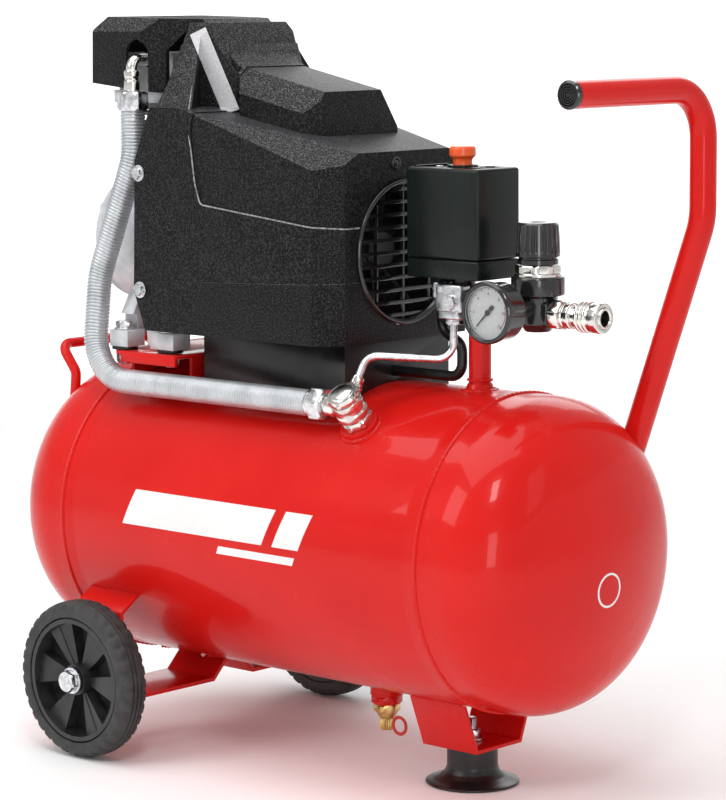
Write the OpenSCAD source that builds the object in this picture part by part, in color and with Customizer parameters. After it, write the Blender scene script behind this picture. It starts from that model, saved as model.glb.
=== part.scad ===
// Portable oil-lubricated piston air compressor on a horizontal wheeled tank.
// Frame: X along the tank (handle end positive), Y across it, Z up from the floor.

/* [Tank] */
// Outside diameter of the air tank
tank_d = 240; // [230:1:245]
// Seam-to-seam length of the tank barrel
barrel_len = 374; // [370:2:380]
// Wall thickness of the tank
tank_wall = 2.5; // [2:0.1:3]
// Height of the tank's centreline above the floor
tank_z = 183; // [183:1:188]

/* [Wheels and foot] */
// Outside radius of a wheel
wheel_r = 62.5; // [60:0.5:63]
// Width of a wheel
wheel_w = 25; // [22:1:26]
// Radius of the suction foot's flange
foot_r = 36; // [30:1:38]

/* [Handle] */
// Radius of the main handle tube
handle_r = 10; // [9:0.5:11]
// Height of the grip's centreline
grip_z = 528; // [500:1:540]

/* [Pump] */
// Height of the crankshaft's centreline
shaft_z = 403; // [400:1:404]
// Crank throw, half the piston's stroke
throw = 20; // [16:1:20]
// Half-width of the plastic shroud
shroud_hw = 85; // [82:1:88]
// Wall thickness of the shroud
shroud_t = 2.5; // [2:0.5:3]

/* [Air outlet] */
// Radius of the pressure gauge
gauge_r = 23; // [20:0.5:24]
// Radius of the coupler's outlet bore
outlet_r = 5.5; // [5:0.1:5.5]

/* [Hidden] */
$fn = 64;
e = 0.01;
tank_r = tank_d / 2;
half_barrel = barrel_len / 2;
flange = 18;
knuckle = tank_r / 2;
dish_x = half_barrel + flange;
dish_h = 70.7;
crown = (dish_h * dish_h + pow(tank_r - knuckle, 2) - knuckle * knuckle) / (2 * (dish_h - knuckle));
tube_gap = 0.25;

grip_x = 295;
grip_half = 80;
cap_lip = 0.4;
x_max = grip_x + handle_r + cap_lip;
x_min = -(dish_x + dish_h);
tank_x = -(x_max + x_min) / 2;

wheel_x = -143;
wheel_out = 154;
wheel_in = wheel_out - wheel_w;
hub_r = 50;
axle_r = 5;
strip_w = 54;
strip_t = 3;

foot_x = 140.5;
foot_stem_r = 19.5;
channel_z = 31;

cyl_x = -165;
pin_z = shaft_z + throw;
rod_len = 70;
wrist_z = pin_z + rod_len;
bore_r = 21;
deck_z = 452;
head_z = 513;

fan_x = 34;
end_x = 74;
skirt_z = 336;
grille_r = 56;

riser_x = 148.8;
man_z = 366;
reg_x = 204.7;
reg_r = 14;
gauge_z = 369;
gauge_y = -61;
coupler_z = 364;
switch_z = 387;
knob_x = 133;

valve_x = 95;
valve_tilt = 38;
hose_r = 10;
hose_z = 293.5;
hose_y = -86;
elbow_x = -156;
elbow_y = -66;
drain_x = 52.8;
drain_z = tank_z - tank_r - 8.5;

red = [0.80, 0.05, 0.04];
black = [0.07, 0.07, 0.07];
steel = [0.72, 0.72, 0.74];
alu = [0.62, 0.63, 0.64];
brass = [0.75, 0.58, 0.28];

function dot3(a, b) = a[0] * b[0] + a[1] * b[1] + a[2] * b[2];
function unit(v) = v / norm(v);
function corner_half(a, b, c) = acos(max(-1, min(1, dot3(unit(b - a), unit(c - b))))) / 2;
function setback(p, i, r) = r[i] * tan(corner_half(p[i - 1], p[i], p[i + 1]));
function is_inner(p, i) = i > 0 && i < len(p) - 1;
function seg_start(p, i, r) =
    p[i] + unit(p[i + 1] - p[i]) * (is_inner(p, i) ? setback(p, i, r) : 0);
function seg_end(p, i, r) =
    p[i + 1] - unit(p[i + 1] - p[i]) * (is_inner(p, i + 1) ? setback(p, i + 1, r) : 0);
// Euler angles that carry the Z axis onto v
function aim(v) = [0, acos(v[2] / norm(v)), atan2(v[1], v[0])];
// Euler angles of the frame whose axes are x, y and z
function euler(x, y, z) = [atan2(y[2], z[2]), asin(max(-1, min(1, -x[2]))), atan2(x[1], x[0])];
// Left-hand offset of an open polyline in the plane, mitred at its corners
function perp(a, b) = [-(b - a)[1], (b - a)[0]] / norm(b - a);
function mitre(m, n) = (m + n) / (1 + m[0] * n[0] + m[1] * n[1]);
function side_pt(p, i, t) = p[i] + t * (i == 0 ? perp(p[0], p[1])
    : i == len(p) - 1 ? perp(p[i - 1], p[i])
    : mitre(perp(p[i - 1], p[i]), perp(p[i], p[i + 1])));
function ribbon_pts(p, t) = concat(
    [for (i = [0 : len(p) - 1]) side_pt(p, i, t / 2)],
    [for (i = [len(p) - 1 : -1 : 0]) side_pt(p, i, -t / 2)]);

// ---------- shared shapes ----------

module at_tank() {
    translate([tank_x, 0, 0]) children();
}

// cylinder lying along X from x = a to x = b
module rod_x(a, b, r, fn = 64) {
    translate([a, 0, 0]) rotate([0, 90, 0]) cylinder(h = b - a, r = r, $fn = fn);
}

// cylinder lying along Y from y = a to y = b
module rod_y(a, b, r, fn = 64) {
    translate([0, b, 0]) rotate([90, 0, 0]) cylinder(h = b - a, r = r, $fn = fn);
}

module hex_z(af, h) {
    cylinder(h = h, r = af / sqrt(3), $fn = 6);
}

module box(x0, x1, y0, y1, z0, z1) {
    translate([x0, y0, z0]) cube([x1 - x0, y1 - y0, z1 - z0]);
}

// round bar along the points p with a bend of radius r[i] at each inner point;
// ext lengthens the bar's two ends, and trim shortens the straight pieces at the bends
module bar(p, r, rad, ext = 0, trim = -0.15) {
    last = len(p) - 2;
    for (i = [0 : last]) {
        a = seg_start(p, i, r) + (i == 0 ? -ext : trim) * unit(p[i + 1] - p[i]);
        b = seg_end(p, i, r) + (i == last ? ext : -trim) * unit(p[i + 1] - p[i]);
        translate(a) rotate(aim(b - a)) cylinder(h = norm(b - a), r = rad);
    }
    for (i = [1 : len(p) - 2]) bend(p[i - 1], p[i], p[i + 1], r[i], rad - 0.03);
}

// a bend runs a little way into the straight pieces it joins
module bend(a, b, c, r, rad) {
    u = unit(b - a);
    v = unit(c - b);
    w = unit(v - u);
    half = corner_half(a, b, c);
    lap = 0.147 / sqrt(r) * 180 / PI;
    centre = b + w * r / cos(half);
    x = unit(b - u * r * tan(half) - centre);
    z = cross(x, u);
    translate(centre) rotate(euler(x, u, z)) rotate([0, 0, -lap])
        rotate_extrude(angle = 2 * (half + lap)) translate([r, 0]) circle(r = rad);
}

// polygon drawn in X and Z, extruded across Y
module prism_y(pts, hw) {
    translate([0, hw, 0]) rotate([90, 0, 0]) linear_extrude(2 * hw) polygon(pts);
}

// polygon drawn in Y and Z, extruded along X
module prism_x(pts, x0, x1) {
    translate([x0, 0, 0]) rotate([90, 0, 90]) linear_extrude(x1 - x0) polygon(pts);
}

module hex_screw(af, head, r, len) {
    hex_z(af, head);
    translate([0, 0, -len]) cylinder(h = len + e, r = r);
}

function arc(c, r, a0, a1, n) =
    [for (i = [0 : n]) [c[0] + r * cos(a0 + (a1 - a0) * i / n), c[1] + r * sin(a0 + (a1 - a0) * i / n)]];

// outside of one dished head, grown by g, axis along +X from the end of the barrel
module dish(g) {
    meet = atan2(crown - dish_h, tank_r - knuckle);
    side = arc([tank_r - knuckle, flange], knuckle + g, 0, meet, 14);
    top = arc([0, flange + dish_h - crown], crown + g, meet, 90, 8);
    rotate([0, 90, 0]) rotate_extrude()
        polygon(concat([[0, 0], [tank_r + g, 0]], side, [for (i = [1 : 8]) top[i]]));
}

module tank_space(g = tube_gap) {
    translate([0, 0, tank_z]) {
        rod_x(-half_barrel, half_barrel, tank_r + g);
        translate([half_barrel, 0, 0]) dish(g);
        mirror([1, 0, 0]) translate([half_barrel, 0, 0]) dish(g);
    }
}

module at_valve() {
    translate([valve_x, 0, tank_z]) rotate([valve_tilt, 0, 0]) children();
}

// ---------- tank ----------

module tank_barrel() {
    color(red) at_tank() difference() {
        union() {
            translate([0, 0, tank_z]) rod_x(-half_barrel, half_barrel, tank_r);
            at_valve() translate([0, 0, tank_r - 3]) cylinder(h = 8, r = 15);
            translate([riser_x, 0, tank_z + tank_r - 3]) cylinder(h = 5, r1 = 12, r2 = 10);
            translate([drain_x, 0, drain_z - 7]) cylinder(h = 18.5, r = 13);
        }
        translate([0, 0, tank_z]) rod_x(-half_barrel - 1, half_barrel + 1, tank_r - tank_wall);
        at_valve() translate([0, 0, tank_r - 10]) cylinder(h = 20, r = 8.1);
        translate([riser_x, 0, tank_z + tank_r - 8]) cylinder(h = 16, r = 8.6);
        translate([drain_x, 0, drain_z - 8]) cylinder(h = 24.5, r = 6.1);
    }
}

module head_shell() {
    translate([half_barrel, 0, tank_z]) {
        difference() {
            dish(0);
            translate([-e, 0, 0]) dish(-tank_wall);
        }
        rotate([0, 90, 0]) rotate_extrude() translate([tank_r + 0.1, 1.9]) circle(r = 1.6, $fn = 24);
    }
}

module tank_head_left() {
    color(red) at_tank() mirror([1, 0, 0]) head_shell();
}

module tank_head_right() {
    color(red) at_tank() head_shell();
}

module axle_bracket() {
    half = [[-104, 129], [-124, 115], [-124, 45], [-23, 45], [-7, 61.2]];
    path = concat(half, [for (i = [len(half) - 1 : -1 : 0]) [-half[i][0], half[i][1]]]);
    color(red) at_tank() difference() {
        prism_x(ribbon_pts(path, strip_t), wheel_x - strip_w / 2, wheel_x + strip_w / 2);
        tank_space();
        translate([wheel_x, 0, wheel_r]) rod_y(-140, 140, axle_r + 0.1);
    }
}

module foot_bracket() {
    path = [[-44, 80], [-25.5, channel_z], [25.5, channel_z], [44, 80]];
    color(red) at_tank() difference() {
        prism_x(ribbon_pts(path, strip_t), foot_x - 27, foot_x + 27);
        tank_space();
        translate([foot_x, 0, 20]) cylinder(h = 20, r = 4.1);
    }
}

module suction_foot() {
    top = channel_z - strip_t / 2 - 0.1;
    color(black) at_tank() translate([foot_x, 0, 0]) difference() {
        rotate_extrude() polygon([[0, 0], [foot_r, 0], [foot_r, 1.6], [foot_r - 6, 3.2],
            [foot_r - 11, 5.5], [foot_stem_r + 1.5, 8.5], [foot_stem_r, 12],
            [foot_stem_r, top - 1], [foot_stem_r - 1, top], [0, top]]);
        translate([0, 0, 10]) cylinder(h = 30, r = 4.1);
        translate([0, 0, -e]) cylinder(h = 1.5, r1 = foot_r - 6, r2 = foot_r - 12);
    }
}

module foot_fasteners() {
    top = channel_z + strip_t / 2;
    color(steel) at_tank() translate([foot_x, 0, 0]) {
        translate([0, 0, 10.2]) cylinder(h = 40, r = 4);
        difference() {
            union() {
                translate([0, 0, top + 0.05]) cylinder(h = 1.6, r = 8.5);
                translate([0, 0, top + 1.7]) hex_z(13, 6.5);
            }
            cylinder(h = 60, r = 4.05);
        }
    }
}

// ---------- wheels, outer face towards -Y ----------

module hub() {
    rotate([90, 0, 0]) translate([0, 0, wheel_in]) difference() {
        union() {
            translate([0, 0, 1]) cylinder(h = wheel_w - 2, r = hub_r);
            translate([0, 0, -3]) cylinder(h = wheel_w + 2.2, r = 9);
        }
        translate([0, 0, wheel_w - 5]) difference() {
            cylinder(h = 10, r = hub_r - 4);
            translate([0, 0, -1]) cylinder(h = 12, r = 12);
        }
        for (k = [0 : 5]) rotate([0, 0, 60 * k + 12]) translate([0, 0, 4]) linear_extrude(30)
            intersection() {
                difference() {
                    circle(r = hub_r - 4.7);
                    circle(r = 15);
                }
                polygon([[8, 0], [90, 0], [90 * cos(28), 90 * sin(28)], [8 * cos(28), 8 * sin(28)]]);
            }
        translate([0, 0, -1]) difference() {
            cylinder(h = 10, r = hub_r - 6);
            translate([0, 0, -1]) cylinder(h = 12, r = 14);
        }
        translate([0, 0, -10]) cylinder(h = wheel_w + 20, r = axle_r + 0.05);
    }
}

module tyre() {
    rotate([90, 0, 0]) translate([0, 0, wheel_in]) difference() {
        rotate_extrude() polygon([[hub_r + 0.1, 0], [wheel_r - 4, 0], [wheel_r - 1, 2.5],
            [wheel_r, 6], [wheel_r, 9], [wheel_r - 1.2, 9.6], [wheel_r - 1.2, 11], [wheel_r, 11.6],
            [wheel_r, wheel_w - 11.6], [wheel_r - 1.2, wheel_w - 11], [wheel_r - 1.2, wheel_w - 9.6],
            [wheel_r, wheel_w - 9], [wheel_r, wheel_w - 6], [wheel_r - 1, wheel_w - 2.5],
            [wheel_r - 4, wheel_w], [hub_r + 0.1, wheel_w]]);
        for (k = [0 : 23]) rotate([0, 0, 15 * k]) for (z = [0, wheel_w])
            translate([wheel_r - 0.8, 0, z]) cube([4, 5, 4.3], center = true);
    }
}

module hub_near() {
    color(black) at_tank() translate([wheel_x, 0, wheel_r]) hub();
}

module tyre_near() {
    color([0.12, 0.12, 0.12]) at_tank() translate([wheel_x, 0, wheel_r]) tyre();
}

module hub_far() {
    color(black) at_tank() mirror([0, 1, 0]) translate([wheel_x, 0, wheel_r]) hub();
}

module tyre_far() {
    color([0.12, 0.12, 0.12]) at_tank() mirror([0, 1, 0]) translate([wheel_x, 0, wheel_r]) tyre();
}

module axle_set() {
    translate([wheel_x, 0, wheel_r]) rotate([90, 0, 0]) {
        translate([0, 0, 114]) cylinder(h = 42, r = axle_r);
        translate([0, 0, wheel_out - 0.6]) cylinder(h = 2, r = 10.5);
        translate([0, 0, wheel_out + 1.3]) hex_z(16, 6.5);
        translate([0, 0, 114.5]) difference() {
            hex_z(16, 7.9);
            translate([0, 0, -1]) cylinder(h = 12, r = axle_r - e);
        }
    }
}

module axle_fasteners() {
    color(steel) at_tank() {
        axle_set();
        mirror([0, 1, 0]) axle_set();
    }
}

// ---------- handles ----------

module handle_tube() {
    p = [[grip_x, -74, grip_z], [grip_x, grip_half, grip_z], [grip_x, grip_half, 432],
        [228, grip_half, 248]];
    r = [0, 36, 60, 0];
    color(red) at_tank() difference() {
        bar(p, r, handle_r);
        bar(p, r, handle_r - 1.8, 1, 0.2);
        tank_space();
    }
}

module handle_cap() {
    color(black) at_tank() translate([grip_x, 0, grip_z]) difference() {
        union() {
            rod_y(-78, -74.1, handle_r + cap_lip);
            rod_y(-79, -78 + e, handle_r - 1.2);
            rod_y(-74.2, -60, handle_r - 2);
        }
        for (q = [3, 5, 7]) rotate([90, 0, 0]) translate([0, 0, 78.3])
            rotate_extrude() translate([q, 0]) square([0.9, 2]);
    }
}

module rear_handle() {
    p = [[-252, -50, 232], [-246, -50, 290], [-264, -50, 312], [-264, 50, 312],
        [-246, 50, 290], [-252, 50, 232]];
    color(red) at_tank() difference() {
        bar(p, [0, 8, 10, 10, 8, 0], 4.2);
        tank_space();
    }
}

// ---------- pump supports ----------

mount_pts = [[-165, -70], [-117, -66], [-165, 70], [-117, 66]];

module pump_saddle() {
    color(red) at_tank() difference() {
        union() {
            translate([0, 0, 314]) linear_extrude(3) polygon([[-175, -70], [-163, -82], [-96, -82],
                [-96, 82], [-163, 82], [-175, 70]]);
            for (x = [-168, -102]) box(x, x + 3, -60, 60, 255, 314 + e);
            for (y = [-82, 79]) box(-158, -96, y, y + 3, 308, 314 + e);
        }
        tank_space();
        for (m = mount_pts) translate([m[0], m[1], 300]) cylinder(h = 30, r = 4.1);
    }
}

module rubber_mounts() {
    color(black) at_tank() for (m = mount_pts) translate([m[0], m[1], 317.1]) difference() {
        cylinder(h = 2.8, r = 10.5);
        translate([0, 0, -1]) cylinder(h = 10, r = 4.1);
    }
}

module mount_bolts() {
    color(steel) at_tank() for (m = mount_pts) translate([m[0], m[1], 333.1]) {
        cylinder(h = 1.5, r = 8.5);
        translate([0, 0, 1.4]) hex_z(13, 5.4);
        translate([0, 0, -28]) cylinder(h = 28 + e, r = 4);
        translate([0, 0, -26.6]) hex_z(13, 7.3);
    }
}

module capacitor_box() {
    color(black) at_tank() difference() {
        box(-85, 66, -60, 60, 280, 335.6);
        tank_space();
        box(-82, 63, -57, 57, 308, 340);
        translate([62, -2, 311]) rod_x(0, 5, 4.3);
    }
}

// ---------- drain ----------

module drain_valve() {
    color(brass) at_tank() translate([drain_x, 0, drain_z]) difference() {
        union() {
            translate([0, 0, -13.5]) hex_z(19, 6.3);
            translate([0, 0, -7.3]) cylinder(h = 9, r = 6);
            translate([0, 0, -18]) cylinder(h = 4.6, r1 = 6.5, r2 = 9);
        }
        translate([0, 0, -30]) cylinder(h = 40, r = 3.1);
    }
}

module drain_screw() {
    color(brass) at_tank() translate([drain_x, 0, drain_z]) {
        translate([0, 0, -26]) cylinder(h = 30, r = 3.04);
        difference() {
            translate([0, 0, -28]) cylinder(h = 9.6, r = 6.2);
            for (k = [0 : 11]) rotate([0, 0, 30 * k]) translate([6.4, 0, -29])
                cylinder(h = 12, r = 0.8, $fn = 16);
        }
        translate([13.2, 0, -23.4]) rotate([90, 0, 0]) rotate_extrude() translate([6.6, 0])
            circle(r = 1.1, $fn = 24);
    }
}

// ---------- riser, manifold and pressure switch ----------

module riser_pipe() {
    color(red) at_tank() translate([riser_x, 0, 0]) difference() {
        translate([0, 0, tank_z + tank_r - 6]) cylinder(h = 54.8, r = 8.5);
        translate([0, 0, tank_z + tank_r - 10]) cylinder(h = 70, r = 6);
    }
}

module manifold() {
    color(black) at_tank() difference() {
        union() {
            box(118, 184, -12, 12, 352, 380);
            translate([0, 0, man_z]) rod_x(183.9, 190.5, 9);
            translate([knob_x, 0, 379.9]) cylinder(h = 7, r = 9);
        }
        translate([0, 0, man_z]) rod_x(130, 200, 4.5);
        translate([riser_x, 0, 350]) cylinder(h = 16, r = 6);
        translate([knob_x, 0, man_z]) cylinder(h = 30, r = 4);
        translate([165, 0, man_z]) rod_y(0, 20, 4.1);
    }
}

module unloader_block() {
    color(steel) at_tank() {
        box(125, 150, -24, -12.1, 356.5, 383);
        translate([141, -23.9, 370]) rotate([90, 0, 0]) {
            hex_z(11, 4);
            cylinder(h = 5, r = 4);
        }
        translate([137, -17, 352.5]) hex_z(10, 4.1);
    }
}

module switch_base() {
    color(black) at_tank() {
        difference() {
            box(98, 168, -25, 23, switch_z, switch_z + 14.5);
            box(101, 165, -22, 20, switch_z + 4, switch_z + 20);
            translate([knob_x, 0, switch_z - 1]) cylinder(h = 10, r = 5);
        }
        difference() {
            union() {
                translate([108, 4, switch_z - 5.9]) hex_z(17, 6);
                translate([108, 4, switch_z - 14]) cylinder(h = 8.2, r1 = 6.8, r2 = 8.2);
            }
            translate([108, 4, switch_z - 20]) cylinder(h = 30, r = 4.3);
        }
    }
}

module switch_cover() {
    color([0.09, 0.12, 0.11]) at_tank() difference() {
        union() {
            box(97.5, 168.5, -25.5, 23.5, switch_z + 14.7, switch_z + 83);
            box(99, 167, -24, 22, switch_z + 82.9, switch_z + 84.5);
        }
        box(100, 166, -23, 21, switch_z + 14, switch_z + 81.5);
        translate([knob_x, -1, switch_z + 70]) cylinder(h = 30, r = 7.6);
    }
}

module switch_knob() {
    color([0.95, 0.33, 0.12]) at_tank() translate([knob_x, -1, switch_z]) {
        translate([0, 0, 66]) cylinder(h = 25, r = 7.3);
        translate([0, 0, 90.9]) cylinder(h = 6, r1 = 9.2, r2 = 10);
        translate([0, 0, 96.8]) cylinder(h = 1.6, r1 = 10, r2 = 8.8);
    }
}

module motor_cable() {
    p = [[108, 4, switch_z - 2], [108, 4, 345], [133, -2, 336], [133, -2, 311], [64, -2, 311]];
    color(black) at_tank() bar(p, [0, 12, 10, 11, 0], 4);
}

module safety_valve() {
    color(brass) at_tank() translate([165, 0, man_z]) rotate([-90, 0, 0]) difference() {
        union() {
            translate([0, 0, 7]) cylinder(h = 6, r = 4);
            translate([0, 0, 12.1]) hex_z(15, 7);
            translate([0, 0, 19]) cylinder(h = 17, r1 = 7.2, r2 = 6.4);
        }
        translate([0, 0, 14]) cylinder(h = 40, r = 2.05);
        translate([0, 0, 5]) cylinder(h = 12, r = 1.5);
    }
}

module safety_ring() {
    color(steel) at_tank() translate([165, 0, man_z]) {
        rod_y(18, 42, 2);
        translate([0, 52.2, 0]) rotate([0, 90, 0]) rotate_extrude() translate([11, 0])
            circle(r = 1, $fn = 24);
    }
}

// ---------- regulator, gauge and coupler ----------

module regulator_body() {
    color(black) at_tank() difference() {
        union() {
            translate([reg_x, 0, 355]) cylinder(h = 23.1, r = reg_r);
            translate([reg_x, 0, 378]) cylinder(h = 13.5, r = 20);
            translate([reg_x, 0, 350.5]) cylinder(h = 4.6, r1 = 10, r2 = 12.5);
            translate([0, 0, man_z]) rod_x(190.6, reg_x, 10);
            translate([reg_x, 0, gauge_z]) rod_y(-36.9, 0, 7);
            translate([0, 0, coupler_z]) rod_x(reg_x, 221, 8.5);
        }
        translate([0, 0, man_z]) rod_x(188, reg_x, 4.5);
        translate([0, 0, coupler_z]) rod_x(reg_x, 226, 4.5);
        translate([reg_x, 0, 360]) cylinder(h = 50, r = 6);
        translate([reg_x, 0, gauge_z]) rod_y(-40, 0, 2);
    }
}

module regulator_ring() {
    color(steel) at_tank() translate([reg_x, 0, 391.6]) difference() {
        union() {
            cylinder(h = 3, r = 17.5);
            translate([0, 0, 2.9]) cylinder(h = 5.6, r = 17.5, $fn = 8);
        }
        translate([0, 0, -1]) cylinder(h = 12, r = 12);
    }
}

module regulator_knob() {
    color(black) at_tank() translate([reg_x, 0, 0]) difference() {
        union() {
            translate([0, 0, 400.4]) cylinder(h = 4, r = 15.2);
            translate([0, 0, 404.3]) cylinder(h = 25, r1 = 16.6, r2 = 15.4);
            translate([0, 0, 429.2]) cylinder(h = 2.3, r1 = 15.4, r2 = 13.4);
            translate([0, 0, 392.5]) cylinder(h = 8, r = 9);
        }
        for (k = [0 : 23]) rotate([0, 0, 15 * k]) translate([17, 0, 405])
            cylinder(h = 30, r = 1.5, $fn = 16);
    }
}

module gauge_case() {
    color(black) at_tank() translate([reg_x, 0, gauge_z]) difference() {
        union() {
            rod_y(gauge_y, gauge_y + 5, gauge_r);
            rod_y(gauge_y + 4.9, -38.5, gauge_r - 1.6);
            rod_y(-38.6, -37, gauge_r - 4);
        }
        rod_y(gauge_y - 1, gauge_y + 6, gauge_r - 3.4);
    }
}

module gauge_dial() {
    color([0.95, 0.95, 0.93]) at_tank() translate([reg_x, 0, gauge_z]) {
        rod_y(gauge_y + 4.9, gauge_y + 5.9, gauge_r - 3.6);
        rod_y(gauge_y + 3.4, gauge_y + 5, 0.8);
    }
}

module gauge_needle() {
    color([0.05, 0.05, 0.05]) at_tank() translate([reg_x, 0, gauge_z]) rotate([0, -135, 0]) {
        difference() {
            union() {
                rod_y(gauge_y + 3, gauge_y + 4.2, 2);
                box(-0.7, 0.7, gauge_y + 3.4, gauge_y + 4, -5, 15);
            }
            rod_y(gauge_y, gauge_y + 8, 0.85);
        }
    }
}

module gauge_glass() {
    color([0.85, 0.9, 0.92]) at_tank() translate([reg_x, 0, gauge_z])
        rod_y(gauge_y + 0.9, gauge_y + 2.3, gauge_r - 3.5);
}

module coupler_body() {
    color(steel) at_tank() translate([0, 0, coupler_z]) difference() {
        union() {
            translate([221.1, 0, 0]) rotate([0, 90, 0]) hex_z(21, 9);
            rod_x(230, 239, 10);
            rod_x(238.9, 240.3, 8.8);
            rod_x(240.2, 268, 8.2);
        }
        rod_x(220, 270, outlet_r - 1.5);
        rod_x(246, 270, outlet_r);
    }
}

module coupler_sleeve() {
    color(steel) at_tank() translate([0, 0, coupler_z]) difference() {
        union() {
            rod_x(245, 266.5, 10.6);
            for (x = [246, 249.5, 253]) rod_x(x, x + 2.2, 11.6);
            rod_x(259, 265.5, 11.6);
        }
        rod_x(244, 268, 8.27);
    }
}

// ---------- discharge line ----------

module check_valve() {
    color(steel) at_tank() {
        difference() {
            at_valve() {
                translate([0, 0, tank_r - 3]) cylinder(h = 9, r = 8);
                translate([0, 0, tank_r + 5.1]) hex_z(24, 7);
                translate([0, 0, tank_r + 12]) cylinder(h = 17, r = 12.5);
                translate([0, 0, tank_r + 28.9]) hex_z(24, 6);
                translate([0, 0, tank_r + 34.8]) cylinder(h = 1.5, r1 = 9, r2 = 8);
            }
            at_valve() translate([0, 0, tank_r - 5]) cylinder(h = 28, r = 4);
        }
        translate([0, hose_y, hose_z]) rod_x(70, 86, 7.5);
        translate([90, -77, 304]) rotate([-30, 0, 0]) hex_z(10, 6);
    }
}

module hose_nuts() {
    color(steel) at_tank() {
        translate([56, hose_y, hose_z]) rotate([0, 90, 0]) difference() {
            hex_z(23, 16);
            translate([0, 0, -1]) cylinder(h = 30, r = 7.6);
        }
        translate([elbow_x, elbow_y, 508]) difference() {
            hex_z(22, 15);
            translate([0, 0, -1]) cylinder(h = 30, r = 5.1);
        }
    }
}

module discharge_hose() {
    p = [[elbow_x, elbow_y, 507.9], [elbow_x, elbow_y, 470], [-187, -76, 375],
        [-186, hose_y, hose_z], [55.9, hose_y, hose_z]];
    r = [0, 60, 70, 38, 0];
    color(steel) at_tank() difference() {
        bar(p, r, hose_r);
        bar(p, r, hose_r - 5, 1, 0.2);
    }
}

module outlet_elbow() {
    p = [[elbow_x, -42.1, 548], [elbow_x, elbow_y, 548], [elbow_x, elbow_y, 511]];
    color(steel) at_tank() {
        bar(p, [0, 7, 0], 5);
        translate([elbow_x, elbow_y, 523.2]) cylinder(h = 17, r = 6.8);
    }
}

module unloader_tube() {
    p = [[90, -74, 309.2], [90, -62, 330], [137, -17, 326], [137, -17, 352.4]];
    color(steel) at_tank() bar(p, [0, 12, 12, 0], 3);
}

// ---------- pump ----------

module crankcase() {
    color(alu) at_tank() difference() {
        union() {
            translate([0, 0, shaft_z]) {
                rod_x(-212, -140, 52);
                rod_x(-140.1, -131, 60);
            }
            translate([cyl_x, 0, shaft_z]) cylinder(h = deck_z - shaft_z, r = 36);
            for (m = mount_pts) {
                box(m[0] - (m[0] < -140 ? 7.5 : 13), m[0] + 13, m[1] - 9.5, m[1] + 9.5, 320, 333);
                s = m[1] > 0 ? 1 : -1;
                prism_x([[s * 30, 362], [s * 46, 383], [s * (abs(m[1]) + 4), 333],
                    [s * (abs(m[1]) + 4), 322], [s * 58, 322]],
                    m[0] < -140 ? m[0] - 7 : -139, m[0] + 7);
            }
            translate([-148, 0, 0]) prism_x([[-42, 372], [42, 372], [36, 345], [-36, 345]], 0, 17);
        }
        translate([0, 0, shaft_z]) {
            rod_x(-220, -148, 45);
            rod_x(-150, -120, 9.2);
            rod_x(-141, -120, 16);
        }
        translate([cyl_x, 0, shaft_z]) cylinder(h = 100, r = bore_r + 3.6);
        translate([cyl_x, 0, deck_z]) cylinder(h = 60, r = 40.5);
        translate([0, 0, shaft_z]) rod_x(-130.95, -20, 65.4);
        for (m = mount_pts) translate([m[0], m[1], 320]) cylinder(h = 20, r = 4.1);
        for (m = mount_pts) translate([m[0], m[1], 310]) cylinder(h = 20, r = 4.1);
        for (m = mount_pts) translate([m[0], m[1], 333]) cylinder(h = 12, r = 10);
    }
}

module crankcase_cover() {
    color(alu) at_tank() translate([0, 0, shaft_z]) difference() {
        union() {
            rod_x(-217, -212.1, 52);
            translate([-226, 0, 0]) rotate([0, 90, 0]) cylinder(h = 9.1, r1 = 42, r2 = 47);
            for (k = [0 : 5]) rotate([60 * k + 30, 0, 0]) translate([0, 48, 0]) rod_x(-219.5, -216.9, 3.6);
            for (k = [0 : 2]) rotate([60 * k, 0, 0]) box(-227.5, -220, -40, 40, -1.5, 1.5);
        }
        rod_x(-222, -210, 40);
        translate([0, 0, -22]) rod_x(-240, -210, 10.1);
        translate([0, 0, 24]) rod_x(-240, -210, 7.1);
    }
}

module sight_glass() {
    color([0.9, 0.9, 0.85]) at_tank() translate([0, 0, shaft_z - 22]) {
        rod_x(-228.5, -223, 10);
        difference() {
            rod_x(-230.5, -228.4, 12);
            rod_x(-232, -226, 8.5);
        }
    }
}

module breather_cap() {
    color([0.75, 0.1, 0.06]) at_tank() translate([0, 0, shaft_z + 24]) {
        rod_x(-228, -218, 7);
        translate([-240, 0, 0]) rotate([0, 90, 0]) cylinder(h = 12.1, r1 = 9, r2 = 11);
        rod_x(-243, -239.9, 5);
    }
}

module cylinder_block() {
    translate([cyl_x, 0, 0]) {
        translate([0, 0, deck_z + 0.1]) cylinder(h = head_z - deck_z - 0.2, r = 29);
        translate([0, 0, deck_z - 8]) cylinder(h = 9, r = bore_r + 3.5);
        translate([0, 0, deck_z + 0.1]) cylinder(h = 5, r = 36);
        for (k = [0 : 5]) translate([0, 0, deck_z + 11 + 8 * k]) cylinder(h = 2.6, r = 40);
        translate([0, 0, head_z - 5.1]) cylinder(h = 5, r = 40);
    }
}

module finned_cylinder() {
    color([0.45, 0.46, 0.47]) at_tank() difference() {
        cylinder_block();
        translate([cyl_x, 0, deck_z - 20]) cylinder(h = 100, r = bore_r + 0.05);
    }
}

module cylinder_head() {
    color(alu) at_tank() {
        difference() {
            union() {
                box(-203, -125, -42, 42, head_z, head_z + 10);
                box(-199, -131, -36, 36, head_z + 9.9, head_z + 28);
                for (k = [0 : 7]) box(-201, -126, -40 + 11 * k, -37 + 11 * k, head_z + 9.9, head_z + 40);
            }
            translate([elbow_x, -20, 548]) rod_y(-40, 0, 4);
            for (x = [-197, -133], y = [-34, 34]) translate([x, y, head_z + 10]) cylinder(h = 40, r = 7);
        }
        for (x = [-197, -133], y = [-34, 34]) translate([x, y, head_z + 10]) hex_z(10, 5);
    }
}

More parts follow.
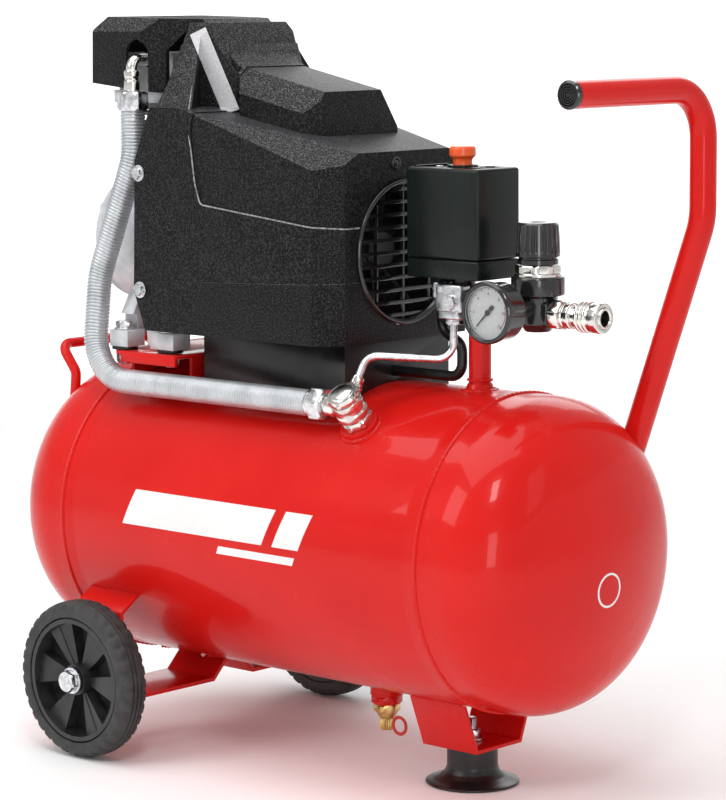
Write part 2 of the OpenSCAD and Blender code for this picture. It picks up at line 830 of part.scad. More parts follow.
module intake_filter() {
    color(black) at_tank() translate([-176, 0, 546]) {
        rod_y(40.2, 46, 8);
        rod_y(45.9, 57, 13);
        rod_y(56.9, 59, 11);
    }
}

module piston() {
    color(alu) at_tank() translate([cyl_x, 0, wrist_z]) difference() {
        union() {
            difference() {
                translate([0, 0, -16]) cylinder(h = 33, r = bore_r);
                translate([0, 0, -17]) cylinder(h = 27, r = bore_r - 3.5);
                for (z = [8, 11.5]) translate([0, 0, z]) difference() {
                    cylinder(h = 1.5, r = 25);
                    cylinder(h = 1.5, r = bore_r - 1);
                }
            }
            rod_x(-bore_r + 1, bore_r - 1, 4);
        }
    }
}

module connecting_rod() {
    color(alu) at_tank() translate([0, 0, shaft_z + throw]) difference() {
        union() {
            rod_x(cyl_x - 4, cyl_x + 4, 10.5);
            translate([0, 0, rod_len]) rod_x(cyl_x - 4, cyl_x + 4, 7.5);
            box(cyl_x - 2.5, cyl_x + 2.5, -5, 5, 8, rod_len - 5);
        }
        rod_x(cyl_x - 6, cyl_x + 6, 6.4);
        translate([0, 0, rod_len]) rod_x(cyl_x - 6, cyl_x + 6, 4.05);
    }
}

module rotor_shaft() {
    color(steel) at_tank() translate([0, 0, shaft_z]) {
        rod_x(-151, 48, 9);
        translate([0, 0, throw]) rod_x(-160.6, -156.4, 6);
        difference() {
            rod_x(-156.5, -149.5, 32);
            for (s = [-1, 1]) translate([0, s * 26, 18]) rod_x(-158, -148, 12);
        }
        rod_x(-118, -38, 37);
        for (x = [-125, -38.1]) rod_x(x, x + 7.1, 30);
    }
}

module stator() {
    color([0.35, 0.36, 0.38]) at_tank() translate([0, 0, shaft_z]) difference() {
        union() {
            rod_x(-116, -40, 65);
            rod_x(-130.9, -115.9, 58);
            rod_x(-40.1, -20, 58);
            rod_x(-20.1, -14, 62);
        }
        rod_x(-132, -24, 37.6);
        rod_x(-30, 0, 9.2);
        translate([cyl_x, 0, deck_z - shaft_z]) cylinder(h = 60, r = 40.5);
        for (k = [0 : 5]) rotate([60 * k + 15, 0, 0]) translate([0, 46, 0]) rod_x(-40, -10, 7);
    }
}

module fan() {
    color(black) at_tank() translate([fan_x, 0, shaft_z]) difference() {
        union() {
            rod_x(-12, 12, 15);
            rod_x(-12, -9, 34);
            for (k = [0 : 8]) rotate([40 * k, 0, 0]) translate([0, 34, 0]) rotate([0, 35, 0])
                cube([20, 46, 2], center = true);
        }
        rod_x(-40, 40, 9);
    }
}

// ---------- shroud ----------

// i is the inset from the outer skin, down is how far the open side runs past the skirt
module casing(i, down) {
    w = shroud_hw - i;
    // lower casing: the roof falls towards the handle end and its side slopes fall faster
    intersection() {
        prism_y([[-125 - down, skirt_z - down], [end_x - i, skirt_z - down], [end_x - i, 480 - i],
            [20, 492 - i], [-84, 511 - i], [-116 - down, 511 - i], [-134 - down, 470],
            [-137 - down, 367]], w + 5);
        translate([0, 0, 200]) linear_extrude(400) polygon([[-300, -w], [end_x - 17.4, -w],
            [end_x - i, -w + 17.4 - 0.41 * i], [end_x - i, w - 17.4 + 0.41 * i], [end_x - 17.4, w],
            [-300, w]]);
        translate([0, 0, 485.7]) rotate([0, 17.4, 0]) prism_x([[-105, -300], [-105, -10 - 1.1 * i],
            [0, 42.5 - 1.1 * i], [105, -10 - 1.1 * i], [105, -300]], -300, 300);
    }
    // tapered shoulder that carries the hood, stepped in where the trim strip lies
    intersection() {
        prism_y([[-134 - down, 440], [-134 - down, 470], [-116 - down, 511], [-112 - down, 530],
            [-112 - down, 577 - i], [-92 - i, 577 - i], [-66 - i, 533], [-24 - i, 440]], w + 5);
        prism_x([[-w, 400], [-w, 498 - 0.4 * i], [-44 + i, 577 - i], [44 - i, 577 - i],
            [w, 498 - 0.4 * i], [w, 400]], -300, 300);
        translate([0, 0, 200]) linear_extrude(400) polygon([[-300, -w], [-73.5 - 1.8 * i, -w],
            [-95 - 1.45 * i, -51.3 + 0.41 * i], [-63 - 0.4 * i, -36 + 0.9 * i],
            [-63 - 0.4 * i, 36 - 0.9 * i], [-95 - 1.45 * i, 51.3 - 0.41 * i], [-73.5 - 1.8 * i, w],
            [-300, w]]);
    }
    // middle block, its top and side slopes falling together towards the handle end
    intersection() {
        prism_y([[-110, 450], [27 - i, 450], [26 - i, 491], [19 - i, 540], [-110, 567]], 80);
        translate([0, 0, 529]) rotate([0, 12, 0]) prism_x([[i - 50, -140],
            [i - 48, -17.5 - 0.4 * i], [0.4 * i - 32, -i], [32 - 0.4 * i, -i], [60 - i, -52],
            [60 - i, -140]], -130, 130);
        translate([0, 0, 200]) linear_extrude(400) polygon([[-300, i - 36.5], [-65, i - 36.5],
            [-50, i - 53], [8 - 0.4 * i, i - 53], [26 - i, 0.4 * i - 34.5], [26 - i, 46 - 0.4 * i],
            [12 - 0.4 * i, 60 - i], [-50, 60 - i], [-66, 36.5 - i], [-300, 36.5 - i]]);
    }
}

module hood(i, down) {
    intersection() {
        prism_y([[-207 + i, 529 - down], [-206 + i, 572], [-197 + i, 582 - i], [-105 - i, 580 - i],
            [-66 - i, 543 - i], [-66 - i, 520 - down], [-116, 511 - down], [-127, 521 - down]], 70);
        prism_x([[i - 62, 400], [i - 62, 570], [i - 53, 582 - i], [53 - i, 582 - i], [62 - i, 570],
            [62 - i, 400]], -300, 300);
        translate([0, 0, 200]) linear_extrude(400) polygon([[-300, i - 62], [-150 - i, i - 62],
            [-105 - i, i - 37], [0, i - 37], [0, 37 - i], [-105 - i, 37 - i], [-150 - i, 62 - i],
            [-300, 62 - i]]);
    }
}

module shroud() {
    color(black) at_tank() difference() {
        union() {
            casing(0, 0);
            hood(0, 0);
        }
        casing(shroud_t, 20);
        hood(shroud_t, 20);
        translate([0, 0, shaft_z]) rod_x(end_x - 8, end_x + 5, grille_r);
        translate([elbow_x, 0, 500]) box(-11, 11, -70, -55, 0, 53);
        translate([elbow_x, 0, 553]) rod_y(-70, -55, 11);
        for (z = [368, 460]) translate([-129, 0, z]) rod_y(-90, 90, 2.6);
    }
}

module shroud_strip() {
    along = unit([25, 12.1, -65]);
    out = unit(cross([0.68, -0.73, 0.12], along));
    face = cross(along, out);
    color(steel) at_tank() difference() {
        intersection() {
            translate([-96, -51.8, 571.1]) rotate(euler(along, out, face))
                translate([0, -6.8, -9]) cube([70, 13.6, 18]);
            union() {
                casing(-1.6, 0);
                hood(-1.6, 0);
            }
        }
        casing(-0.05, 0);
        hood(-0.05, 0);
    }
}

module fan_grille() {
    color(black) at_tank() translate([end_x - 3.5, 0, shaft_z]) {
        difference() {
            rod_x(0, 4.6, grille_r - 0.2);
            rod_x(-1, 6, grille_r - 4);
        }
        intersection() {
            rod_x(0, 3, grille_r - 3.9);
            union() {
                for (k = [-5 : 5]) box(0, 3, -60, 60, 9.6 * k - 1.4, 9.6 * k + 1.4);
                for (y = [-30, 0, 30]) box(0, 3, y - 1.2, y + 1.2, -60, 60);
            }
        }
    }
}

module shroud_screws() {
    color(steel) at_tank() {
        for (s = [0, 1], z = [368, 460]) mirror([0, s, 0]) translate([-129, -shroud_hw - 0.1, z])
            rotate([90, 0, 0]) {
                cylinder(h = 1.4, r = 6.5);
                translate([0, 0, 1.3]) hex_z(9, 3.8);
                translate([0, 0, -12]) cylinder(h = 12 + e, r = 2.4);
            }
    }
}

// ---------- assembly ----------

tank_barrel();
tank_head_left();
tank_head_right();
axle_bracket();
foot_bracket();
suction_foot();
foot_fasteners();
hub_near();
tyre_near();
hub_far();
tyre_far();
axle_fasteners();
handle_tube();
handle_cap();
rear_handle();
pump_saddle();
rubber_mounts();
mount_bolts();
capacitor_box();
drain_valve();
drain_screw();
riser_pipe();
manifold();
unloader_block();
switch_base();
switch_cover();
switch_knob();
motor_cable();
safety_valve();
safety_ring();
regulator_body();
regulator_ring();
regulator_knob();
gauge_case();
gauge_dial();
gauge_needle();
gauge_glass();
coupler_body();
coupler_sleeve();
check_valve();
hose_nuts();
discharge_hose();
outlet_elbow();
unloader_tube();
crankcase();
crankcase_cover();
sight_glass();
breather_cap();
finned_cylinder();
cylinder_head();
piston();
connecting_rod();
rotor_shaft();
stator();
fan();
shroud();
shroud_strip();
fan_grille();
shroud_screws();
intake_filter();
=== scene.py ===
import math

import bmesh
import bpy
from mathutils import Matrix, Vector


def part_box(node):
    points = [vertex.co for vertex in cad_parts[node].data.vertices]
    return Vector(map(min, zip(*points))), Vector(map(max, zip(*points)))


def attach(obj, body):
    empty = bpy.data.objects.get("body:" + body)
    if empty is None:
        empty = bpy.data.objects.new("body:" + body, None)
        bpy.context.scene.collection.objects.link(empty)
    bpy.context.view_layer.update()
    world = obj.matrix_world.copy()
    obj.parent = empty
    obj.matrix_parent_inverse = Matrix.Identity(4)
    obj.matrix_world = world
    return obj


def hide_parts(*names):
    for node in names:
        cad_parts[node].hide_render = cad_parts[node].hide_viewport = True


# Portable piston air compressor: red tank on wheels and a foot, black pump shroud, switch and regulator.
# Shapes are written in millimetres from the middle of the tank, and place() carries them into the frame.

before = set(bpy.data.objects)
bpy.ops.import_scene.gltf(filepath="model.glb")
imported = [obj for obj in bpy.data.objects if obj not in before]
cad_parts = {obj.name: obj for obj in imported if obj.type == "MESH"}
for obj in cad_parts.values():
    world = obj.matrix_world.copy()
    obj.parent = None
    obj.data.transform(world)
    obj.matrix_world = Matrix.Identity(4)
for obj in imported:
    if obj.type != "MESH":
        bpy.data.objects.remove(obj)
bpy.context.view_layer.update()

MM = 0.001
FRAME_BODY = "compressor_frame"
X_AXIS = (1, 0, 0)
Y_AXIS = (0, 1, 0)
Z_AXIS = (0, 0, 1)
NEAR = (0, -1, 0)

barrel_lo, barrel_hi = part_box("tank_barrel")
tank_mid = (barrel_lo.x + barrel_hi.x) / 2


def place(p):
    """Millimetres from the middle of the tank to metres in the frame."""
    return Vector((p[0] * MM + tank_mid, p[1] * MM, p[2] * MM))


# ---------- materials ----------

def ramp_node(nodes, stops):
    ramp = nodes.new("ShaderNodeValToRGB")
    ramp.color_ramp.elements[0].position = stops[0][0]
    ramp.color_ramp.elements[0].color = (*stops[0][1], 1)
    ramp.color_ramp.elements[1].position = stops[-1][0]
    ramp.color_ramp.elements[1].color = (*stops[-1][1], 1)
    for at, colour in stops[1:-1]:
        ramp.color_ramp.elements.new(at).color = (*colour, 1)
    return ramp


def surface(slot, dark, light, rough, metal=0.0, scale=60.0, spread=(0.35, 0.65), bump=0.0,
            grain=600.0, depth=0.0002, stretch=(1, 1, 1), sockets=None, name=None):
    """A procedural material: noise moves the colour and the roughness, finer noise makes the bump."""
    mat = bpy.data.materials.new(name or slot)
    mat.use_nodes = True
    nodes, link = mat.node_tree.nodes, mat.node_tree.links.new
    shader = nodes["Principled BSDF"]
    coords = nodes.new("ShaderNodeTexCoord")
    mapping = nodes.new("ShaderNodeMapping")
    mapping.inputs["Scale"].default_value = stretch
    link(coords.outputs["Object"], mapping.inputs["Vector"])
    tone = nodes.new("ShaderNodeTexNoise")
    tone.inputs["Scale"].default_value = scale
    tone.inputs["Detail"].default_value = 6
    link(mapping.outputs["Vector"], tone.inputs["Vector"])
    ramp = ramp_node(nodes, [(spread[0], dark), (spread[1], light)])
    link(tone.outputs["Fac"], ramp.inputs["Fac"])
    link(ramp.outputs["Color"], shader.inputs["Base Color"])
    gloss = nodes.new("ShaderNodeMapRange")
    gloss.inputs["From Min"].default_value = 0.3
    gloss.inputs["From Max"].default_value = 0.7
    gloss.inputs["To Min"].default_value = rough[0]
    gloss.inputs["To Max"].default_value = rough[1]
    link(tone.outputs["Fac"], gloss.inputs["Value"])
    link(gloss.outputs["Result"], shader.inputs["Roughness"])
    shader.inputs["Metallic"].default_value = metal
    if bump:
        fine = nodes.new("ShaderNodeTexNoise")
        fine.inputs["Scale"].default_value = grain
        fine.inputs["Detail"].default_value = 3
        link(mapping.outputs["Vector"], fine.inputs["Vector"])
        relief = nodes.new("ShaderNodeBump")
        relief.inputs["Strength"].default_value = bump
        relief.inputs["Distance"].default_value = depth
        link(fine.outputs["Fac"], relief.inputs["Height"])
        link(relief.outputs["Normal"], shader.inputs["Normal"])
    for socket, value in (sockets or {}).items():
        shader.inputs[socket].default_value = value
    mat["slot"] = slot
    return mat


LACQUER = {"Coat Weight": 0.32, "Coat Roughness": 0.03, "Coat IOR": 1.45, "Specular IOR Level": 0.1}
enamel = surface("tank_paint", (0.60, 0.008, 0.006), (0.67, 0.012, 0.009), (0.22, 0.30), scale=9,
                 bump=0.08, grain=420, depth=0.00025, sockets=LACQUER)
# the shroud's moulded grain; painted top light and painted side shade are added to this colour below
grain_and_painted_light = surface("shroud_plastic", (0.003, 0.003, 0.003), (0.085, 0.084, 0.090), (0.30, 0.46),
                  scale=820, spread=(0.46, 0.74), bump=1.0, grain=900, depth=0.0006,
                  sockets={"Specular IOR Level": 0.14})


def paint_light_by_facing(mat, flat, steep):
    """Paints light and shade into a material's colour: darker on upright faces than on sloping ones, a
    painted side shade and a painted top light.
    """
    nodes, link = mat.node_tree.nodes, mat.node_tree.links.new
    shader = nodes["Principled BSDF"]
    colour = shader.inputs["Base Color"].links[0].from_socket
    geometry = nodes.new("ShaderNodeNewGeometry")
    split = nodes.new("ShaderNodeSeparateXYZ")
    link(geometry.outputs["True Normal"], split.inputs["Vector"])
    facing_light_scale = nodes.new("ShaderNodeMapRange")
    facing_light_scale.inputs["From Min"].default_value = 0.12
    facing_light_scale.inputs["From Max"].default_value = 0.6
    facing_light_scale.inputs["To Min"].default_value = steep
    facing_light_scale.inputs["To Max"].default_value = flat
    link(split.outputs["Z"], facing_light_scale.inputs["Value"])
    scaled = nodes.new("ShaderNodeVectorMath")
    scaled.operation = "SCALE"
    link(colour, scaled.inputs[0])
    link(facing_light_scale.outputs["Result"], scaled.inputs["Scale"])
    link(scaled.outputs["Vector"], shader.inputs["Base Color"])


# painted light: the shroud plastic's base colour is lifted on sloping faces and lowered on upright ones
paint_light_by_facing(grain_and_painted_light, 2.1, 0.62)
satin_black = surface("switch_plastic", (0.006, 0.009, 0.008), (0.010, 0.014, 0.013), (0.20, 0.30),
                      scale=28, bump=0.12, grain=900, depth=0.0002, stretch=(1, 1, 0.25),
                      sockets={"Specular IOR Level": 0.25})
gloss_black = surface("black_fitting", (0.006, 0.006, 0.006), (0.013, 0.013, 0.014), (0.12, 0.22),
                      scale=45, bump=0.08, grain=500, sockets={"Coat Weight": 0.5, "Coat Roughness": 0.05})
hub_black = surface("hub_plastic", (0.014, 0.014, 0.015), (0.030, 0.030, 0.031), (0.30, 0.45),
                    scale=120, bump=0.25, grain=1200, depth=0.0002)
tyre_black = surface("tyre_rubber", (0.022, 0.022, 0.023), (0.050, 0.050, 0.050), (0.55, 0.75),
                     scale=140, bump=0.5, grain=900, depth=0.0003)
soft_black = surface("soft_rubber", (0.005, 0.005, 0.005), (0.013, 0.013, 0.013), (0.28, 0.42),
                     scale=90, bump=0.2, grain=800)
orange = surface("knob_orange", (0.80, 0.085, 0.010), (0.92, 0.125, 0.018), (0.26, 0.36), scale=70,
                 bump=0.15, grain=700, sockets={"Coat Weight": 0.3})
zinc = surface("zinc", (0.52, 0.53, 0.55), (0.86, 0.87, 0.89), (0.20, 0.36), metal=1.0, scale=180,
               bump=0.2, grain=900)
nickel = surface("nickel", (0.66, 0.64, 0.60), (0.88, 0.86, 0.83), (0.08, 0.20), metal=1.0, scale=110,
                 bump=0.12, grain=700)
brass = surface("brass_parts", (0.56, 0.37, 0.12), (0.80, 0.58, 0.26), (0.20, 0.38), metal=1.0,
                scale=160, bump=0.2, grain=900)
cast = surface("cast_alu", (0.52, 0.53, 0.55), (0.72, 0.73, 0.75), (0.42, 0.60), metal=0.4, scale=70,
               bump=0.55, grain=850, depth=0.0004)
iron = surface("iron", (0.10, 0.10, 0.105), (0.22, 0.22, 0.225), (0.45, 0.65), metal=0.6, scale=120,
               bump=0.5, grain=800, depth=0.0004)
shaft_steel = surface("shaft_steel", (0.42, 0.42, 0.44), (0.62, 0.62, 0.64), (0.25, 0.4), metal=1.0,
                      scale=200, bump=0.15)
dial_white = surface("dial_white", (0.80, 0.80, 0.79), (0.88, 0.88, 0.87), (0.5, 0.6), scale=300,
                     bump=0.05)
ink = surface("needle_black", (0.012, 0.012, 0.014), (0.028, 0.028, 0.030), (0.35, 0.5), scale=300,
              bump=0.05)
lens = surface("lens", (0.95, 0.97, 0.98), (1.0, 1.0, 1.0), (0.01, 0.03), scale=20,
               sockets={"Transmission Weight": 1.0, "IOR": 1.45})
sight = surface("sight", (0.72, 0.60, 0.30), (0.86, 0.78, 0.50), (0.04, 0.08), scale=90,
                sockets={"Transmission Weight": 0.75})
cap_red = surface("cap_red", (0.55, 0.03, 0.02), (0.68, 0.05, 0.03), (0.3, 0.42), scale=90, bump=0.15)
# the shroud strip's light grey is a painted highlight, where a chamfer facet of the shroud catches light
strip_highlight_grey = surface("zinc", (0.46, 0.45, 0.47), (0.66, 0.65, 0.67), (0.45, 0.6), scale=900,
                     spread=(0.3, 0.7), bump=0.5, grain=1100, depth=0.0003, name="strip_highlight_grey")
# light grey for the plate's edge lip: a painted highlight along the edge
bead_highlight_grey = surface("shroud_plastic", (0.10, 0.10, 0.11), (0.42, 0.42, 0.44), (0.35, 0.5), scale=420,
                    bump=0.4, grain=1100, depth=0.0003, name="bead_highlight_grey")
spring = surface("zinc", (0.50, 0.52, 0.54), (0.64, 0.66, 0.68), (0.34, 0.44), metal=0.7, scale=60,
                 bump=0.05, grain=300, name="spring_wire")
white_paint = surface("tank_paint", (0.80, 0.80, 0.79), (0.86, 0.86, 0.85), (0.22, 0.30), scale=12,
                      bump=0.06, grain=420, sockets=LACQUER, name="white_paint")


# ---------- mesh helpers ----------

def axes(direction):
    """Two unit vectors across a direction, and the direction itself."""
    w = Vector(direction).normalized()
    u = w.orthogonal().normalized()
    if abs(w.z) > 0.99:
        u = Vector(X_AXIS)
    elif abs(w.z) < 0.3:
        u = Vector(Z_AXIS).cross(w).normalized()
    return u, w.cross(u), w


def soften(profile, radius, closed=False, steps=3):
    """Rounds the corners of a profile with short curves."""
    out = []
    last = len(profile) - 1
    for i, p in enumerate(profile):
        if not closed and i in (0, last):
            out.append(p)
            continue
        here = Vector(p)
        back = Vector(profile[i - 1]) - here
        fore = Vector(profile[(i + 1) % len(profile)]) - here
        reach = min(radius, back.length * 0.45, fore.length * 0.45)
        a = here + back.normalized() * reach
        b = here + fore.normalized() * reach
        for k in range(steps + 1):
            t = k / steps
            q = a * (1 - t) ** 2 + here * 2 * t * (1 - t) + b * t * t
            out.append((q[0], q[1]))
    return out


def lathe(profile, origin=(0, 0, 0), axis=Z_AXIS, n=72, closed=False, wobble=None, soft=0.0):
    """Turns (radius, height) points about an axis. A radius of 0 is a pole."""
    if soft:
        profile = soften(profile, soft, closed)
    u, v, w = axes(axis)
    o = Vector(origin)
    verts, faces, rows = [], [], []
    for r, h in profile:
        if r < 1e-6:
            rows.append([len(verts)])
            verts.append(o + w * h)
            continue
        row = []
        for k in range(n):
            a = 2 * math.pi * k / n
            rr = wobble(r, h, a) if wobble else r
            row.append(len(verts))
            verts.append(o + w * h + (u * math.cos(a) + v * math.sin(a)) * rr)
        rows.append(row)
    pairs = list(zip(rows, rows[1:]))
    if closed:
        pairs.append((rows[-1], rows[0]))
    for a, b in pairs:
        if len(a) == 1 and len(b) == 1:
            continue
        for k in range(n):
            j = (k + 1) % n
            if len(a) == 1:
                faces.append([a[0], b[j], b[k]])
            elif len(b) == 1:
                faces.append([a[k], a[j], b[0]])
            else:
                faces.append([a[k], a[j], b[j], b[k]])
    return verts, faces


def disc(r, h0, h1, origin=(0, 0, 0), axis=Z_AXIS, soft=0.6, n=72):
    """A solid disc with softened rims."""
    return lathe([(0, h0), (r, h0), (r, h1), (0, h1)], origin, axis, n, soft=soft)


def ring(r0, r1, h0, h1, origin=(0, 0, 0), axis=Z_AXIS, soft=0.5, n=72):
    return lathe([(r0, h0), (r1, h0), (r1, h1), (r0, h1)], origin, axis, n, closed=True, soft=soft)


def torus(radius, thick, h, origin=(0, 0, 0), axis=Z_AXIS, n=96, ripple=0.0, count=70):
    """A round bead, rippled like a weld where ripple is above 0."""
    loop = [(radius + thick * math.cos(k * math.pi / 4), h + thick * math.sin(k * math.pi / 4))
            for k in range(8)]

    def weld(r, height, a):
        return r + ripple * math.sin(count * a + 1.5 * math.sin(7 * a)) * (r > radius)

    return lathe(loop, origin, axis, n * (3 if ripple else 1), closed=True, wobble=weld if ripple else None)


def hexagon(af, h0, h1, origin=(0, 0, 0), axis=Z_AXIS, bore=0.0, chamfer=1.2, turn=0.0, sides=6):
    """A nut or bolt head whose corners are turned off at both ends."""
    step = 2 * math.pi / sides

    def shape(r, h, a):
        if r < af * 0.3:
            return r
        t = (a + turn) % step - step / 2
        return min(r, af / 2 / math.cos(t))

    far = af / 2 / math.cos(step / 2)
    low = af / 2 * 0.98
    profile = [(low, h0), (far, h0 + chamfer), (far, h1 - chamfer), (low, h1)]
    if bore:
        return lathe(profile + [(bore, h1), (bore, h0)], origin, axis, 8 * sides, closed=True, wobble=shape)
    return lathe([(0, h0)] + profile + [(0, h1)], origin, axis, 8 * sides, wobble=shape)


def fillet_path(points, radii, step=4.0):
    """Samples a path of straight runs joined by arcs."""
    pts = [Vector(p) for p in points]
    out = [pts[0]]
    for i in range(1, len(pts) - 1):
        a = (pts[i - 1] - pts[i]).normalized()
        b = (pts[i + 1] - pts[i]).normalized()
        angle = math.pi - a.angle(b)
        reach = radii[i] * math.tan(angle / 2)
        start, stop = pts[i] + a * reach, pts[i] + b * reach
        centre = pts[i] + (a + b).normalized() * radii[i] / math.cos(angle / 2)
        count = max(4, int(radii[i] * angle / step) + 1)
        spin = (start - centre).cross(stop - centre).normalized()
        for k in range(count + 1):
            out.append(centre + Matrix.Rotation(angle * k / count, 3, spin) @ (start - centre))
    out.append(pts[-1])
    return out


def resample(path, step):
    lengths = [0.0]
    for a, b in zip(path, path[1:]):
        lengths.append(lengths[-1] + (b - a).length)
    count = max(2, int(lengths[-1] / step))
    out, seg = [], 0
    for k in range(count + 1):
        s = lengths[-1] * k / count
        while seg < len(path) - 2 and lengths[seg + 1] < s:
            seg += 1
        span = lengths[seg + 1] - lengths[seg]
        out.append(path[seg].lerp(path[seg + 1], (s - lengths[seg]) / span if span else 0))
    return out, lengths[-1]


def tube(path, radius, sides=32, step=3.0, shape=None):
    """A round bar along a path; shape(s, angle) gives its radius where it isn't plain."""
    pts, total = resample(path, step)
    verts, faces = [], []
    u = (pts[1] - pts[0]).orthogonal().normalized()
    rows = []
    for i, p in enumerate(pts):
        t = (pts[min(i + 1, len(pts) - 1)] - pts[max(i - 1, 0)]).normalized()
        u = (u - t * u.dot(t)).normalized()
        v = t.cross(u)
        s = total * i / (len(pts) - 1)
        row = []
        for k in range(sides):
            a = 2 * math.pi * k / sides
            r = shape(s, a) if shape else radius
            row.append(len(verts))
            verts.append(p + (u * math.cos(a) + v * math.sin(a)) * r)
        rows.append(row)
    for a, b in zip(rows, rows[1:]):
        faces += [[a[k], a[(k + 1) % sides], b[(k + 1) % sides], b[k]] for k in range(sides)]
    faces.append(rows[0][::-1])
    faces.append(rows[-1])
    return verts, faces


def from_bmesh(bm):
    bm.verts.index_update()
    shape = [v.co.copy() for v in bm.verts], [[v.index for v in f.verts] for f in bm.faces]
    bm.free()
    return shape


def slab(x0, x1, y0, y1, z0, z1, soft=0.8, segments=3):
    """A box with rounded edges."""
    bm = bmesh.new()
    bmesh.ops.create_cube(bm, size=1)
    for v in bm.verts:
        v.co = Vector(((x0, x1)[v.co.x > 0], (y0, y1)[v.co.y > 0], (z0, z1)[v.co.z > 0]))
    if soft:
        bmesh.ops.bevel(bm, geom=bm.edges[:], offset=soft, segments=segments, profile=0.5, affect="EDGES")
    return from_bmesh(bm)


def prism(outline, low, high, axis="Y", soft=0.0, segments=2):
    """An outline in the two other axes, extruded along X, Y or Z."""
    def at(p, h):
        return {"X": (h, p[0], p[1]), "Y": (p[0], h, p[1]), "Z": (p[0], p[1], h)}[axis]
    bm = bmesh.new()
    a = [bm.verts.new(at(p, low)) for p in outline]
    b = [bm.verts.new(at(p, high)) for p in outline]
    bm.faces.new(a)
    bm.faces.new(b)
    for k in range(len(a)):
        j = (k + 1) % len(a)
        bm.faces.new([a[k], a[j], b[j], b[k]])
    bmesh.ops.recalc_face_normals(bm, faces=bm.faces[:])
    if soft:
        bmesh.ops.bevel(bm, geom=bm.edges[:], offset=soft, segments=segments, profile=0.5, affect="EDGES")
    return from_bmesh(bm)


def turned(part, rotation, origin=(0, 0, 0)):
    """The part rotated by a matrix about the origin given, then moved there."""
    o = Vector(origin)
    return [rotation @ Vector(v) + o for v in part[0]], part[1]


def mirrored_y(part):
    return [Vector((v[0], -v[1], v[2])) for v in part[0]], [f[::-1] for f in part[1]]


def raw_object(name, parts):
    verts, faces = [], []
    for v, f in parts:
        base = len(verts)
        verts += [place(p) for p in v]
        faces += [[i + base for i in face] for face in f]
    mesh = bpy.data.meshes.new(name)
    mesh.from_pydata(verts, [], faces)
    obj = bpy.data.objects.new(name, mesh)
    bpy.context.scene.collection.objects.link(obj)
    bm = bmesh.new()
    bm.from_mesh(mesh)
    bmesh.ops.recalc_face_normals(bm, faces=bm.faces[:])
    bm.to_mesh(mesh)
    bm.free()
    return obj


def shade(obj, angle):
    """Smooth shading, with sharp edges where faces meet above the angle."""
    bm = bmesh.new()
    bm.from_mesh(obj.data)
    for face in bm.faces:
        face.smooth = True
    for edge in bm.edges:
        sharp = len(edge.link_faces) == 2 and edge.calc_face_angle(0) > math.radians(angle)
        edge.smooth = not sharp
    bm.to_mesh(obj.data)
    bm.free()


def dress(obj, look, body, stands_for, angle):
    obj.data.materials.clear()
    obj.data.materials.append(look)
    shade(obj, angle)
    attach(obj, body)
    if stands_for:
        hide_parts(*stands_for)
    return obj


def piece(name, parts, look, stands_for=(), body=FRAME_BODY, angle=32):
    return dress(raw_object(name, parts), look, body, stands_for, angle)


def stand_in(node, parts, look, body=FRAME_BODY, angle=32):
    """A detailed piece in the place of the CAD node of the same name."""
    return piece(node, parts, look, [node], body, angle)


def combine(target, tool, operation):
    """Boolean of two scratch objects; the tool is used up."""
    mod = target.modifiers.new("combine", "BOOLEAN")
    mod.operation = operation
    mod.solver = "EXACT"
    mod.object = tool
    bpy.context.view_layer.update()
    seen = bpy.context.evaluated_depsgraph_get()
    mesh = bpy.data.meshes.new_from_object(target.evaluated_get(seen))
    target.modifiers.clear()
    target.data = mesh
    bpy.data.objects.remove(tool)
    return target


def cut(target, part):
    """Takes a part out of a scratch object."""
    return combine(target, raw_object("cut", [part]), "DIFFERENCE")


def keep(target, part):
    """Keeps what lies inside a part."""
    return combine(target, raw_object("cut", [part]), "INTERSECT")


def carried(node, look, bevel=0.35, angle=30):
    """A CAD node that stays: a weld and a fine bevel round its edges, and a better material."""
    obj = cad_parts[node]
    for k in range(max(1, len(obj.data.materials))):
        if k < len(obj.data.materials):
            obj.data.materials[k] = look
        else:
            obj.data.materials.append(look)
    weld = obj.modifiers.new("weld", "WELD")
    weld.merge_threshold = 0.00001
    edge = obj.modifiers.new("edge", "BEVEL")
    edge.width = bevel * MM
    edge.segments = 2
    edge.limit_method = "ANGLE"
    edge.angle_limit = math.radians(angle)
    edge.use_clamp_overlap = True
    edge.harden_normals = True
    for polygon in obj.data.polygons:
        polygon.use_smooth = True
    return obj


# ---------- camera, floor and lights ----------

